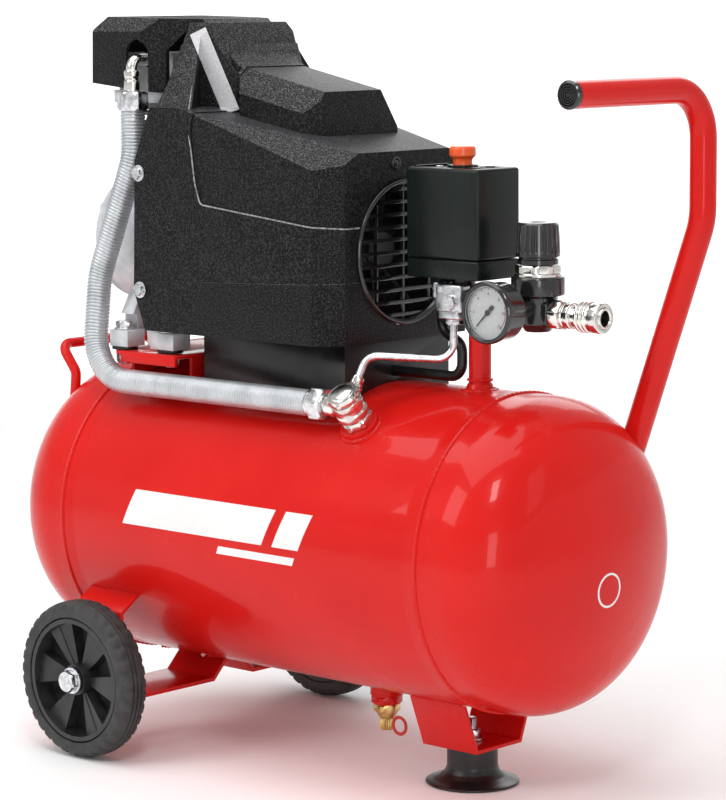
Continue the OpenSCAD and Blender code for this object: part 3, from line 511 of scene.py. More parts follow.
def set_stage():
    scene = bpy.context.scene
    scene.view_settings.view_transform = "Standard"

    cam = bpy.data.cameras.new("camera")
    right = Vector((0.73266878, 0.68054174, -0.00770748))
    up = Vector((-0.07907564, 0.09636971, 0.99219954))
    back = Vector((0.67597596, -0.72634415, 0.12442136))
    cam.sensor_width = 36
    cam.lens = 137.63
    cam.shift_x = 0.0349
    cam.shift_y = -0.0281
    cam.clip_start = 0.05
    cam.clip_end = 60
    cam_obj = bpy.data.objects.new("camera", cam)
    turn = Matrix((right, up, back)).transposed().to_4x4()
    cam_obj.matrix_world = Matrix.Translation(place((1622.34, -1743.23, 598.61))) @ turn
    scene.collection.objects.link(cam_obj)
    scene.camera = cam_obj

    # a pale floor that curves up into a low round wall
    bend = [(3.6 + 0.9 * math.sin(a), 0.9 - 0.9 * math.cos(a)) for a in
            [math.radians(9 * k) for k in range(11)]]
    profile = [(0, 0), (1.2, 0), (2.4, 0)] + bend + [(4.5, 1.2)]
    verts, faces = lathe(profile, n=96)
    mesh = bpy.data.meshes.new("floor")
    mesh.from_pydata(verts, [], faces)
    floor = bpy.data.objects.new("floor", mesh)
    for polygon in mesh.polygons:
        polygon.use_smooth = True
    scene.collection.objects.link(floor)
    floor.location.z = -0.0006
    pale = bpy.data.materials.new("pale_floor")
    pale.use_nodes = True
    shader = pale.node_tree.nodes["Principled BSDF"]
    shader.inputs["Base Color"].default_value = (0.97, 0.97, 0.97, 1)
    shader.inputs["Roughness"].default_value = 0.85
    mesh.materials.append(pale)

    world = bpy.data.worlds.new("studio")
    world.use_nodes = True
    world.node_tree.nodes["Background"].inputs["Color"].default_value = (1, 1, 1, 1)
    world.node_tree.nodes["Background"].inputs["Strength"].default_value = 0.5
    scene.world = world

    def softbox(name, at, size, power, towards=(0, 0, 0.25)):
        light = bpy.data.lights.new(name, "AREA")
        light.shape = "RECTANGLE"
        light.size, light.size_y = size
        light.energy = power
        obj = bpy.data.objects.new(name, light)
        obj.location = at
        aim = Vector(towards) - Vector(at)
        obj.rotation_euler = aim.to_track_quat("-Z", "Y").to_euler()
        scene.collection.objects.link(obj)

    softbox("top", (-0.3, -0.4, 2.6), (2.2, 2.2), 36)
    softbox("key", (-0.9, -2.3, 1.9), (1.2, 1.2), 17)
    softbox("side", (2.4, 0.2, 1.5), (0.7, 1.2), 2)
    softbox("window", (1.05, -1.15, 1.75), (0.28, 0.55), 7)
    softbox("behind", (-1.2, 2.2, 1.8), (1.6, 1.2), 14)
    softbox("front", (1.95, -1.75, 0.55), (0.5, 0.9), 6)
    softbox("backdrop", (-1.7, 1.85, 1.5), (2.4, 1.4), 40, (-3.3, 3.6, 0.5))


set_stage()


# ---------- tank ----------

TANK_R = 120.0
TANK_Z = 183.0
HALF = 187.0
FLANGE = 18.0
KNUCKLE = 60.0
DISH = 70.7
WALL = 2.5
CROWN = (DISH ** 2 + (TANK_R - KNUCKLE) ** 2 - KNUCKLE ** 2) / (2 * (DISH - KNUCKLE))
TANK_O = (0, 0, TANK_Z)


def head_profile(grow):
    meet = math.atan2(CROWN - DISH, TANK_R - KNUCKLE)
    base = HALF + FLANGE
    side = [(TANK_R - KNUCKLE + (KNUCKLE + grow) * math.cos(meet * k / 24),
             base + (KNUCKLE + grow) * math.sin(meet * k / 24)) for k in range(25)]
    top = []
    for k in range(1, 25):
        a = meet + (math.pi / 2 - meet) * k / 24
        top.append(((CROWN + grow) * math.cos(a), base + DISH - CROWN + (CROWN + grow) * math.sin(a)))
    top[-1] = (0, top[-1][1])
    return side + top


def tank_head(name, axis):
    outer = [(TANK_R, HALF + 0.2), (TANK_R + 0.35, HALF + 3), (TANK_R, HALF + 6)] + head_profile(0)
    inner = head_profile(-WALL)[::-1] + [(TANK_R - WALL, HALF + 0.2)]
    shell = lathe(inner + outer, TANK_O, axis, 160, closed=True)
    bead = torus(TANK_R + 0.1, 1.7, HALF + 1.2, TANK_O, axis, 200, ripple=0.22, count=150)
    stand_in(name, [shell, bead], enamel)


def surface_point(x, angle, lift=0.0):
    """A point on the barrel; the angle runs from straight up towards the near side."""
    r = TANK_R + lift
    return Vector((x, -r * math.sin(angle), TANK_Z + r * math.cos(angle)))


def weld_line(path, thick=1.5, seed=0.0):
    def lumps(s, a):
        return thick * (0.85 + 0.18 * math.sin(s * 2.1 + seed) + 0.12 * math.sin(s * 3.7 + seed))
    return tube(path, thick, 10, 0.8, lumps)


VALVE_X = 95.0
VALVE_TILT = math.radians(38)
VALVE_AXIS = (0, -math.sin(VALVE_TILT), math.cos(VALVE_TILT))
VALVE_O = (VALVE_X, 0, TANK_Z)
RISER_X = 148.8
DRAIN_X = 52.8
DRAIN_Z = TANK_Z - TANK_R - 8.5


def barrel():
    crease = [(TANK_R, -HALF + 14), (TANK_R - 0.7, -HALF + 9), (TANK_R + 0.25, -HALF + 5),
              (TANK_R + 0.1, -HALF)]
    outer = [(TANK_R + 0.1, HALF), (TANK_R + 0.25, HALF - 5), (TANK_R - 0.7, HALF - 9),
             (TANK_R, HALF - 14), (TANK_R, 0)] + crease
    inner = [(TANK_R - WALL, -HALF), (TANK_R - WALL, HALF)]
    shell = lathe(outer + inner, TANK_O, X_AXIS, 160, closed=True)
    valve_socket = [lathe([(8.1, 112), (15, 114), (15, 125), (8.1, 125)], VALVE_O, VALVE_AXIS, 64,
                          closed=True, soft=0.8),
                    torus(15.4, 1.6, TANK_R - 0.3, VALVE_O, VALVE_AXIS, 64, ripple=0.4, count=24)]
    o = (RISER_X, 0, TANK_Z)
    riser_collar = [lathe([(8.6, 114), (12.5, 116), (10.4, 121.6), (9.4, 124.5), (8.6, 125)], o,
                          Z_AXIS, 64, closed=True, soft=0.8),
                    torus(12.4, 1.7, TANK_R - 0.6, o, Z_AXIS, 64, ripple=0.45, count=22)]
    o = (DRAIN_X, 0, DRAIN_Z)
    drain_boss = [lathe([(6.1, -0.5), (13, -0.5), (13, 10), (6.1, 10)], o, Z_AXIS, 64, closed=True,
                        soft=1.0),
                  hexagon(22, -7, -0.4, o, bore=6.1, turn=0.2),
                  torus(13.4, 1.4, 8.4, o, Z_AXIS, 64, ripple=0.4, count=22)]
    # the long seam is on the far side
    seam = weld_line([surface_point(x, math.radians(-118), 0.2) for x in (-185, 0, 185)], 1.3)
    parts = [shell] + valve_socket + riser_collar + drain_boss + [seam]
    piece("tank_shell", parts, enamel, ["tank_barrel"])


def decal(name, outline, wrap):
    """A painted patch that follows the tank; outline points are (along x, round the barrel) in mm."""
    bm = bmesh.new()
    outer = [bm.verts.new((x, s, 0)) for x, s in outline]
    bm.faces.new(outer)
    for step in range(-130, 131, 2):
        geom = bm.verts[:] + bm.edges[:] + bm.faces[:]
        bmesh.ops.bisect_plane(bm, geom=geom, plane_co=(0, step, 0), plane_no=(0, 1, 0))
    geom = bmesh.ops.extrude_face_region(bm, geom=bm.faces[:])["geom"]
    for v in [g for g in geom if isinstance(g, bmesh.types.BMVert)]:
        v.co.z = 0.22
    for v in bm.verts:
        v.co = wrap(v.co.x, v.co.y, v.co.z)
    verts, faces = from_bmesh(bm)
    return piece(name, [(verts, faces)], white_paint)


def on_barrel(x, s, lift):
    return surface_point(x, math.radians(90) - s / TANK_R, lift + 0.03)


tank_head("tank_head_left", (-1, 0, 0))
tank_head("tank_head_right", X_AXIS)
barrel()
# plain bands stand where the maker's lettering was
decal("band_wide", [(-118, 4), (34, 4), (46, 32), (-106, 32)], on_barrel)
decal("band_short", [(45, 4), (72, 4), (84, 32), (57, 32)], on_barrel)
decal("band_thin", [(-14, -8), (66, -8), (68.5, -2), (-11.5, -2)], on_barrel)


def head_depth(y, z):
    """How far out the right head stands at a point of its face."""
    base = HALF + FLANGE + DISH - CROWN
    return base + math.sqrt(CROWN ** 2 - y ** 2 - (z - TANK_Z) ** 2)


def on_head(a, s, lift):
    return Vector((head_depth(a, s) + lift + 0.05, a, s))


def head_mark():
    """A plain ring on the tank's end."""
    outer, inner = 13.0, 11.4
    rows = []
    verts = []
    count = 72
    for r, lift in ((inner, 0), (outer, 0), (outer, 0.2), (inner, 0.2)):
        rows.append(len(verts))
        for k in range(count):
            t = 2 * math.pi * k / count
            verts.append(on_head(-4 + r * math.cos(t), 166 + r * math.sin(t), lift))
    faces = []
    for i in range(4):
        a, b = rows[i], rows[(i + 1) % 4]
        faces += [[a + k, a + (k + 1) % count, b + (k + 1) % count, b + k] for k in range(count)]
    piece("end_ring_mark", [(verts, faces)], white_paint)


head_mark()


# ---------- brackets and foot ----------

carried("axle_bracket", enamel, 0.6)
carried("foot_bracket", enamel, 0.6)
carried("pump_saddle", enamel, 0.6)


def bracket_welds():
    parts = []
    for side in (1, -1):
        for x0, x1 in ((-169, -152), (-146, -118)):
            line = [surface_point(x, side * math.radians(118.4), 0.4) for x in (x0, x1)]
            parts.append(weld_line(line, 1.6, x0))
        for x in (-169.5, -116.5):
            arc = [surface_point(x, side * math.radians(175 - 3 * k), 0.2) for k in range(4)]
            parts.append(weld_line(arc, 1.5, x))
        foot = [surface_point(x, side * math.radians(159.8), 0.3) for x in (116, 139, 165)]
        parts.append(weld_line(foot, 1.5, 3))
    for x in (-168.5, -98.6):
        for side in (1, -1):
            line = [surface_point(x, side * math.radians(4 + 4 * k), 0.2) for k in range(6)]
            parts.append(weld_line(line, 1.4, x))
    piece("bracket_welds", parts, enamel)


bracket_welds()


FOOT_X = 140.5


def suction_foot():
    top = 29.4
    profile = [(30, 0), (36, 0), (36, 1.4), (33, 2.3), (30, 3.2), (25, 5.4), (21.5, 8.4), (19.8, 12),
               (19.5, 14), (19.5, top - 1.2), (18.4, top), (4.1, top), (4.1, 8), (22, 3.4)]
    foot = lathe(profile, (FOOT_X, 0, 0), Z_AXIS, 96, closed=True, soft=0.7)
    stand_in("suction_foot", [foot], soft_black)


def foot_fasteners():
    top = 32.5
    o = (FOOT_X, 0, 0)
    thread = []
    z = top + 8.2
    while z < 49:
        thread += [(3.4, z), (3.95, z + 0.5)]
        z += 1.0
    stud = lathe([(0, 10.4), (3.9, 10.4)] + thread + [(3.3, 50), (0, 50.2)], o, Z_AXIS, 32)
    washer = ring(4.3, 8.5, top + 0.05, top + 1.65, o)
    nut = hexagon(13, top + 1.7, top + 8.2, o, bore=4.1, turn=0.3)
    stand_in("foot_fasteners", [stud, washer, nut], zinc)


suction_foot()
foot_fasteners()


# ---------- wheels ----------

WHEEL_X = -143.0
WHEEL_R = 62.5
WHEEL_W = 25.0
WHEEL_IN = 129.0
HUB_R = 50.0


def wheel_height(r, a):
    """Height of the hub's outer face above the wheel's inner plane."""
    if r <= 12.2:
        return 22.4
    if r >= 45.2:
        return WHEEL_W - 1 if r < 49 else WHEEL_W - 2
    sector = (math.degrees(a) - 12) % 60
    if sector < 28:
        return 7.0
    rise = 2.4 * (sector - 28) / 32
    return 15.6 + rise + (r - 12) * 0.05


def hub(name, side):
    radii = [5.05, 11.2, 12.2, 12.5, 20, 30, 38, 44.9, 45.3, 47, 48.8, 49.6]
    angles = []
    for k in range(6):
        for t in (0, 0.5, 7, 14, 21, 27.9, 28.3, 36, 44, 52, 59.2):
            angles.append(math.radians(60 * k + 12 + t))
    o = Vector((WHEEL_X, 0, WHEEL_R))

    def at(r, a, h):
        return o + Vector((r * math.cos(a), side * (WHEEL_IN + h), r * math.sin(a)))
    verts, rows = [], []
    for r in radii:
        rows.append([len(verts) + k for k in range(len(angles))])
        verts += [at(r, a, wheel_height(r, a)) for a in angles]
    for r, h in ((49.9, WHEEL_W - 3), (49.9, 2), (49.4, 1), (44, 1), (43.6, 5), (14.4, 5), (14, 1),
                 (9, 1), (9, -2.9), (5.05, -2.9)):
        rows.append([len(verts) + k for k in range(len(angles))])
        verts += [at(r, a, h) for a in angles]
    faces = []
    n = len(angles)
    for i in range(len(rows)):
        a, b = rows[i], rows[(i + 1) % len(rows)]
        faces += [[a[k], a[(k + 1) % n], b[(k + 1) % n], b[k]] for k in range(n)]
    parts = [(verts, faces)]
    # two thin ribs across the raised spokes
    for deg in (118, 298):
        a = math.radians(deg)
        line = [at(r, a, wheel_height(r, a) + 0.1) for r in (13, 44.5)]
        parts.append(tube(line, 0.8, 10, 3))
    stand_in(name, parts, hub_black, body=name.replace("hub", "wheel"), angle=28)


def tyre(name, side):
    lug = 2 * math.pi / 36
    w = WHEEL_W

    def tread(r, h, a):
        if r < WHEEL_R - 5:
            return r
        at_edge = h < 6.4 or h > w - 6.4
        shift = 0 if h < w / 2 else 0.5
        wave = math.sin(2 * math.pi * ((a / lug + shift) % 1))
        return r + (min(0.0, 1.5 * wave) if at_edge else 0.0)
    mid = [(WHEEL_R - 0.2, 7.4), (WHEEL_R - 1.5, 8.0), (WHEEL_R - 1.5, 8.8), (WHEEL_R - 0.1, 9.4),
           (WHEEL_R, 11.6), (WHEEL_R - 1.4, 12.1), (WHEEL_R - 1.4, 12.9), (WHEEL_R, 13.4),
           (WHEEL_R - 0.1, 15.6), (WHEEL_R - 1.5, 16.2), (WHEEL_R - 1.5, 17), (WHEEL_R - 0.2, 17.6)]
    profile = [(HUB_R + 0.1, 0.5), (HUB_R + 1, 0), (WHEEL_R - 5.4, 0), (WHEEL_R - 3, 0.9),
               (WHEEL_R - 1.2, 3), (WHEEL_R - 0.5, 6)] + mid
    profile += [(WHEEL_R - 0.5, w - 6), (WHEEL_R - 1.2, w - 3), (WHEEL_R - 3, w - 0.9),
                (WHEEL_R - 5.4, w), (HUB_R + 1, w), (HUB_R + 0.1, w - 0.5)]
    parts = [lathe(profile, (WHEEL_X, 0, WHEEL_R), NEAR, 288, closed=True, wobble=tread)]
    parts[0] = ([v + Vector((0, -WHEEL_IN, 0)) for v in parts[0][0]], parts[0][1])
    if side > 0:
        parts = [mirrored_y(p) for p in parts]
    stand_in(name, parts, tyre_black, body=name.replace("tyre", "wheel"), angle=38)


hub("hub_near", -1)
hub("hub_far", 1)
tyre("tyre_near", -1)
tyre("tyre_far", 1)


def axle_fasteners():
    parts = []
    o = (WHEEL_X, 0, WHEEL_R)
    for out in (NEAR, Y_AXIS):
        parts += [disc(4.95, 114.2, 154, o, out),
                  ring(4.9, 10.5, 153.5, 155.1, o, out, soft=0.4),
                  hexagon(16, 155.2, 161, o, out, chamfer=1.3, turn=0.35),
                  disc(4.2, 160.8, 161.5, o, out, soft=0.3, n=32),
                  hexagon(16, 114.6, 122.3, o, out, bore=5, turn=0.1)]
    stand_in("axle_fasteners", parts, zinc)


axle_fasteners()


# ---------- handles ----------

GRIP_X = 295.0
GRIP_Z = 528.0
HANDLE_R = 10.0


def handle():
    path = fillet_path([(GRIP_X, -74, GRIP_Z), (GRIP_X, 80, GRIP_Z), (GRIP_X, 80, 432),
                        (228, 80, 248)], [0, 36, 60, 0])
    stand_in("handle_tube", [tube(path, HANDLE_R, 48, 3)], enamel)


handle()


def handle_cap():
    o = (GRIP_X, 0, GRIP_Z)
    face = [(0, 78.9), (1.4, 78.9)]
    for r in (2.6, 4.4, 6.2, 8.0):
        face += [(r - 0.5, 78.0), (r, 78.9), (r + 0.7, 78.9)]
    profile = face + [(9.4, 78.4), (10.3, 77.4), (10.3, 74.9), (9.6, 74.2), (8.0, 74.1), (8, 60.2),
                      (0, 60.2)]
    stand_in("handle_cap", [lathe(profile, o, NEAR, 72)], gloss_black)


handle_cap()


def rear_handle():
    path = fillet_path([(-252, -50, 232), (-246, -50, 290), (-264, -50, 312), (-264, 50, 312),
                        (-246, 50, 290), (-252, 50, 232)], [0, 8, 10, 10, 8, 0], 2)
    stand_in("rear_handle", [tube(path, 4.2, 24, 2)], enamel)


rear_handle()


# ---------- pump seat ----------

MOUNTS = [(-165, -70), (-117, -66), (-165, 70), (-117, 66)]


def rubber_mounts():
    profile = [(4.2, 317.1), (10.5, 317.1), (10.5, 319.9), (4.2, 319.9)]
    parts = [lathe(profile, (x, y, 0), n=48, closed=True, soft=0.6) for x, y in MOUNTS]
    stand_in("rubber_mounts", parts, soft_black)


def mount_bolts():
    parts = []
    for x, y in MOUNTS:
        o = (x, y, 333.1)
        parts += [ring(4, 8.5, 0, 1.5, o, n=48),
                  hexagon(13, 1.5, 6.8, o, turn=x * 0.1),
                  disc(3.9, -27.9, 1, o, n=32),
                  hexagon(13, -26.6, -19.3, o, turn=y * 0.1)]
    stand_in("mount_bolts", parts, zinc)


rubber_mounts()
mount_bolts()
carried("capacitor_box", soft_black, 1.2)


# ---------- drain ----------

def drain():
    o = (DRAIN_X, 0, DRAIN_Z)
    valve = [hexagon(19, -13.4, -7.1, o, bore=3.1, turn=0.2),
             lathe([(3.1, -17.9), (6.5, -17.9), (7.2, -16.6), (8.8, -13.3), (3.1, -13.3)], o, n=48,
                   closed=True, soft=0.4),
             ring(3.1, 5.9, -7.2, 1.6, o)]
    stand_in("drain_valve", valve, brass)

    def knurl(r, h, a):
        return r - (0.35 * (1 + math.sin(24 * a)) if r > 5.8 else 0)
    key = [lathe([(0, -27.9), (5.2, -27.9), (6.2, -26.9), (6.2, -19.6), (5.4, -18.5), (0, -18.5)], o,
                 n=192, wobble=knurl),
           disc(3.02, -19, 3.6, o, n=40)]
    piece("drain_key", key, brass, ["drain_screw"], body="drain_key")
    loop = (DRAIN_X + 13.2, 0, DRAIN_Z - 23.4)
    bead = lathe([(6.6 + 1.4 * math.cos(t * math.pi / 6), 1.05 * math.sin(t * math.pi / 6))
                  for t in range(12)], loop, Y_AXIS, 64, closed=True)
    piece("drain_key_loop", [bead], cap_red, body="drain_key")


drain()


# ---------- riser, manifold and switch ----------

MAN_Z = 366.0
SWITCH_Z = 387.0
KNOB_X = 133.0


def riser():
    o = (RISER_X, 0, TANK_Z + TANK_R)
    pipe = lathe([(6, -5.8), (8.5, -5.8), (8.5, 46), (8.2, 48.7), (6, 48.7)], o, n=64, closed=True,
                 soft=0.4)
    collar = torus(8.7, 1.1, 7.4, o, Z_AXIS, 64, ripple=0.3, count=18)
    stand_in("riser_pipe", [pipe, collar], enamel)


riser()


def manifold():
    parts = [slab(118, 184, -12, 12, 352, 380, 2.2),
             ring(4.5, 9, 183.9, 190.4, (0, 0, MAN_Z), X_AXIS),
             ring(4, 9, 379.8, 386.9, (KNOB_X, 0, 0)),
             disc(6.5, 116.2, 119, (0, 0, MAN_Z), X_AXIS),
             lathe([(0, 348.5), (10, 348.5), (11, 352.3), (0, 352.3)], (RISER_X, 0, 0), soft=0.6)]
    stand_in("manifold", parts, gloss_black)


def unloader_block():
    parts = [slab(125, 150, -24, -12.1, 362, 383, 1.6),
             slab(127, 147, -23.5, -12.2, 356.5, 364, 1.6),
             slab(120.6, 126, -22, -13, 372, 384, 1.0),
             hexagon(11, 23.7, 27.9, (141, 0, 370), NEAR, turn=0.2),
             disc(5.4, 22, 24.6, (141, 0, 370), NEAR),
             lathe([(1.6, 27.6), (3.3, 27.6), (3.3, 28.8), (1.6, 28.8)], (141, 0, 370), NEAR, 32,
                   closed=True, soft=0.2),
             hexagon(10, 352.5, 356.6, (137, -17, 0)),
             disc(2.2, 23.6, 25, (130, 0, 379), NEAR, soft=0.3, n=32),
             disc(2.2, 23.6, 25, (146, 0, 362), NEAR, soft=0.3, n=32)]
    stand_in("unloader_block", parts, zinc)


manifold()
unloader_block()


def switch():
    base = [slab(98, 168, -25, 23, SWITCH_Z, SWITCH_Z + 14.4, 1.4),
            hexagon(17, SWITCH_Z - 5.9, SWITCH_Z + 0.1, (108, 4, 0), bore=4.3),
            lathe([(4.3, -14), (6.6, -14), (7.2, -12.5), (8.2, -7), (8.2, -6), (4.3, -6)],
                  (108, 4, SWITCH_Z), n=48, closed=True, soft=0.5)]
    for k in range(3):
        base.append(torus(7.4 - 0.3 * k, 0.7, -8.2 - 1.8 * k, (108, 4, SWITCH_Z), n=48))
    stand_in("switch_base", base, satin_black)

    z0, z1 = SWITCH_Z + 14.7, SWITCH_Z + 82.6
    cover = raw_object("switch_cover", [slab(97.5, 168.5, -25.5, 23.5, z0, z1, 2.6, 4)])
    for x0, x1, y0, y1, deep in ((146, 160, -17, -4, 1.2), (146, 160, 1, 14, 1.2),
                                 (104, 116, -16, 14, 1.0)):
        cut(cover, slab(x0, x1, y0, y1, z1 - deep, z1 + 2, 0.5))
    well = lathe([(0, z1 - 12), (7.7, z1 - 12), (7.7, z1 + 3), (0, z1 + 3)], (KNOB_X, -1, 0), n=64)
    cut(cover, well)
    dress(cover, satin_black, FRAME_BODY, ["switch_cover"], 28)
    trim = [ring(7.8, 11.6, z1 - 0.2, z1 + 1.7, (KNOB_X, -1, 0), soft=0.6),
            slab(148, 158, -14, -7, z1 - 1.2, z1 + 0.6, 0.5),
            slab(101, 104.5, -19, 17, z1 - 0.2, z1 + 1.2, 0.5),
            ring(1.7, 3.6, z1 - 1.1, z1 + 0.9, (153, 7.5, 0), soft=0.3, n=40)]
    piece("switch_cover_details", trim, satin_black)
    screw = [disc(2.9, z1 - 1.0, z1 + 0.3, (110, -1, 0), soft=0.5, n=40)]
    piece("switch_cover_screw", screw, zinc)

    knob = lathe([(0, 66), (7.3, 66), (7.3, 86.6), (7.6, 88.8), (9.6, 90.6), (10, 91.2), (10, 96.2),
                  (9.1, 98.0), (6, 98.4), (0, 98.4)], (KNOB_X, -1, SWITCH_Z), n=96, soft=0.6)
    stand_in("switch_knob", [knob], orange, body="switch_button")


switch()


def motor_cable():
    path = fillet_path([(108, 4, SWITCH_Z - 2), (108, 4, 345), (133, -2, 336), (133, -2, 311),
                        (64, -2, 311)], [0, 12, 10, 11, 0], 1.5)
    stand_in("motor_cable", [tube(path, 4, 24, 1.5)], soft_black)


motor_cable()


def safety_valve():
    o = (165, 0, MAN_Z)
    body = [lathe([(1.5, 7.2), (4, 7.2), (4, 12.2), (1.5, 12.2)], o, Y_AXIS, 40, closed=True),
            hexagon(15, 12.1, 19.1, o, Y_AXIS, bore=2.1),
            lathe([(2.1, 19), (7.2, 19), (7.2, 21), (6.6, 22), (6.9, 26), (6.3, 35), (5.6, 35.9),
                   (2.1, 35.9)], o, Y_AXIS, 56, closed=True, soft=0.5)]
    stand_in("safety_valve", body, brass)
    pull = [disc(1.95, 18.2, 42, o, Y_AXIS, 0.4, 32),
            lathe([(11 + math.cos(t * math.pi / 6), math.sin(t * math.pi / 6)) for t in range(12)],
                  (165, 52.2, MAN_Z), X_AXIS, 72, closed=True)]
    stand_in("safety_ring", pull, zinc, body="safety_pull")


safety_valve()


# ---------- regulator, gauge and coupler ----------

REG_X = 204.7
GAUGE_Z = 369.0
COUPLER_Z = 364.0


def regulator():
    o = (REG_X, 0, 0)
    body = [lathe([(0, 350.6), (9.6, 350.6), (12.4, 355), (14, 356.2), (14, 372), (15.2, 376.6),
                   (20, 378), (20, 390), (19.2, 391.5), (12, 391.5), (0, 391.5)], o, n=96, soft=1.0),
            disc(10, 0, 14.1, (190.6, 0, MAN_Z), X_AXIS, 1.0),
            disc(7, 10, 36.8, (REG_X, 0, GAUGE_Z), NEAR, 0.6),
            disc(8.5, 8, 16.3, (REG_X, 0, COUPLER_Z), X_AXIS, 0.6),
            slab(REG_X + 6, REG_X + 15.5, -9.5, 9.5, 356, 373, 2.0)]
    for k in range(4):
        a = math.radians(45 + 90 * k)
        spot = (REG_X + 17 * math.cos(a), 17 * math.sin(a), 0)
        body.append(disc(2.2, 377.2, 391.4, spot, soft=0.4, n=32))
    stand_in("regulator_body", body, gloss_black)

    o = (REG_X, 0, 391.6)
    nut = [ring(12, 17.5, 0, 2.0, o, soft=0.4),
           hexagon(32.4, 2.0, 8.4, o, bore=12, chamfer=0.9, turn=0.25, sides=8)]
    stand_in("regulator_ring", nut, nickel)

    def ribs(r, h, a):
        if r < 13 or h > 429 or h < 409.4:
            return r
        return r - 0.85 * max(0.0, math.sin(24 * a)) ** 0.6
    knob = lathe([(0, 392.6), (9, 392.6), (9, 400.4), (15.2, 400.6), (15.2, 404.0), (14.2, 404.6),
                  (14.2, 405.6), (16.4, 406.4), (16.5, 409), (16.4, 410), (16, 420), (15.4, 428.6),
                  (15.2, 430), (13.6, 431.3), (6, 431.4), (5.6, 430.9), (0, 430.9)],
                 (REG_X, 0, 0), n=288, wobble=ribs)
    stand_in("regulator_knob", [knob], gloss_black, body="pressure_knob", angle=35)


regulator()


GAUGE_FACE = 61.0
GAUGE_O = (REG_X, 0, GAUGE_Z)


def gauge_point(r, deg, out):
    """A point of the gauge's face; degrees run clockwise from straight up, seen from the front."""
    a = math.radians(deg)
    return Vector((REG_X + r * math.sin(a), -out, GAUGE_Z + r * math.cos(a)))


def gauge_mark(r0, r1, deg, wide, out):
    side = Vector((math.cos(math.radians(deg)), 0, -math.sin(math.radians(deg)))) * wide / 2
    a, b = gauge_point(r0, deg, out), gauge_point(r1, deg, out)
    front = [a - side, a + side, b + side, b - side]
    back = [p + Vector((0, 0.1, 0)) for p in front]
    quads = [[0, 1, 2, 3], [7, 6, 5, 4]] + [[k, (k + 1) % 4, (k + 1) % 4 + 4, k + 4] for k in range(4)]
    return front + back, quads


def dial_number(text, deg, r, size):
    curve = bpy.data.curves.new("dial_number", "FONT")
    curve.body = text
    curve.size = size
    curve.align_x = "CENTER"
    curve.align_y = "CENTER"
    curve.extrude = 0.05
    obj = bpy.data.objects.new("dial_number", curve)
    bpy.context.scene.collection.objects.link(obj)
    bpy.context.view_layer.update()
    mesh = bpy.data.meshes.new_from_object(obj.evaluated_get(bpy.context.evaluated_depsgraph_get()))
    bpy.data.objects.remove(obj)
    centre = gauge_point(r, deg, GAUGE_FACE - 4.75)
    verts = [centre + Vector((v.co.x, -v.co.z, v.co.y)) for v in mesh.vertices]
    faces = [list(p.vertices) for p in mesh.polygons]
    bpy.data.meshes.remove(mesh)
    return verts, faces


def gauge():
    face = GAUGE_FACE
    case = lathe([(19.6, face - 6.4), (19.6, face - 0.8), (20.2, face), (21.4, face), (23, face - 1.4),
                  (23, face - 4.6), (22, face - 5.3), (21.4, face - 6), (21.4, 40.5), (19.5, 38.4),
                  (12, 37.4), (7, 37.1), (6.5, 38.4), (6.5, 40), (19.4, 41), (19.5, 44)],
                 GAUGE_O, NEAR, 120, closed=True, soft=0.4)
    stand_in("gauge_case", [case], gloss_black)
    dial = [disc(19.5, face - 5.9, face - 4.9, GAUGE_O, NEAR, 0.1, 96),
            disc(0.8, face - 5, face - 3.5, GAUGE_O, NEAR, 0.1, 24)]
    stand_in("gauge_dial", dial, dial_white)
    marks = []
    top = face - 4.86
    for k in range(61):
        deg = -135 + 4.5 * k
        long = k % 5 == 0
        marks.append(gauge_mark(16.2 if long else 17.0, 18.2, deg, 0.42 if long else 0.22, top))
    for k in range(54):
        deg = -135 + 5 * k
        marks.append(gauge_mark(18.2, 18.45, deg + 2.5, 18.3 * math.radians(5.2), top))
    for k in range(7):
        marks.append(dial_number(str(2 * k), -135 + 45 * k, 13.6, 3.1))
    piece("gauge_marks", marks, ink)
    band = [gauge_mark(15.0, 15.7, 72 + 3 * k, 15.4 * math.radians(3.2), top) for k in range(22)]
    piece("gauge_band", band, cap_red)

    hub_ring = ring(0.85, 2.1, face - 4.2, face - 3.0, GAUGE_O, NEAR, 0.3, 40)
    outline = [(-0.6, 0), (-0.35, 13.5), (0, 15), (0.35, 13.5), (0.6, 0), (0.7, -3), (1.5, -3.6),
               (1.6, -6.2), (0.9, -7), (-0.9, -7), (-1.6, -6.2), (-1.5, -3.6), (-0.7, -3)]
    blade = prism(outline, -face + 3.4, -face + 4.0)
    spin = Matrix.Rotation(math.radians(-135), 3, "Y")
    needle = turned(blade, spin, (REG_X, 0, GAUGE_Z))
    stand_in("gauge_needle", [hub_ring, needle], ink, body="gauge_pointer")
    glass = lathe([(0, face - 2.3), (19.4, face - 2.3), (19.5, face - 1.6), (14, face - 1.1),
                   (7, face - 0.85), (0, face - 0.8)], GAUGE_O, NEAR, 96)
    stand_in("gauge_glass", [glass], lens)


gauge()


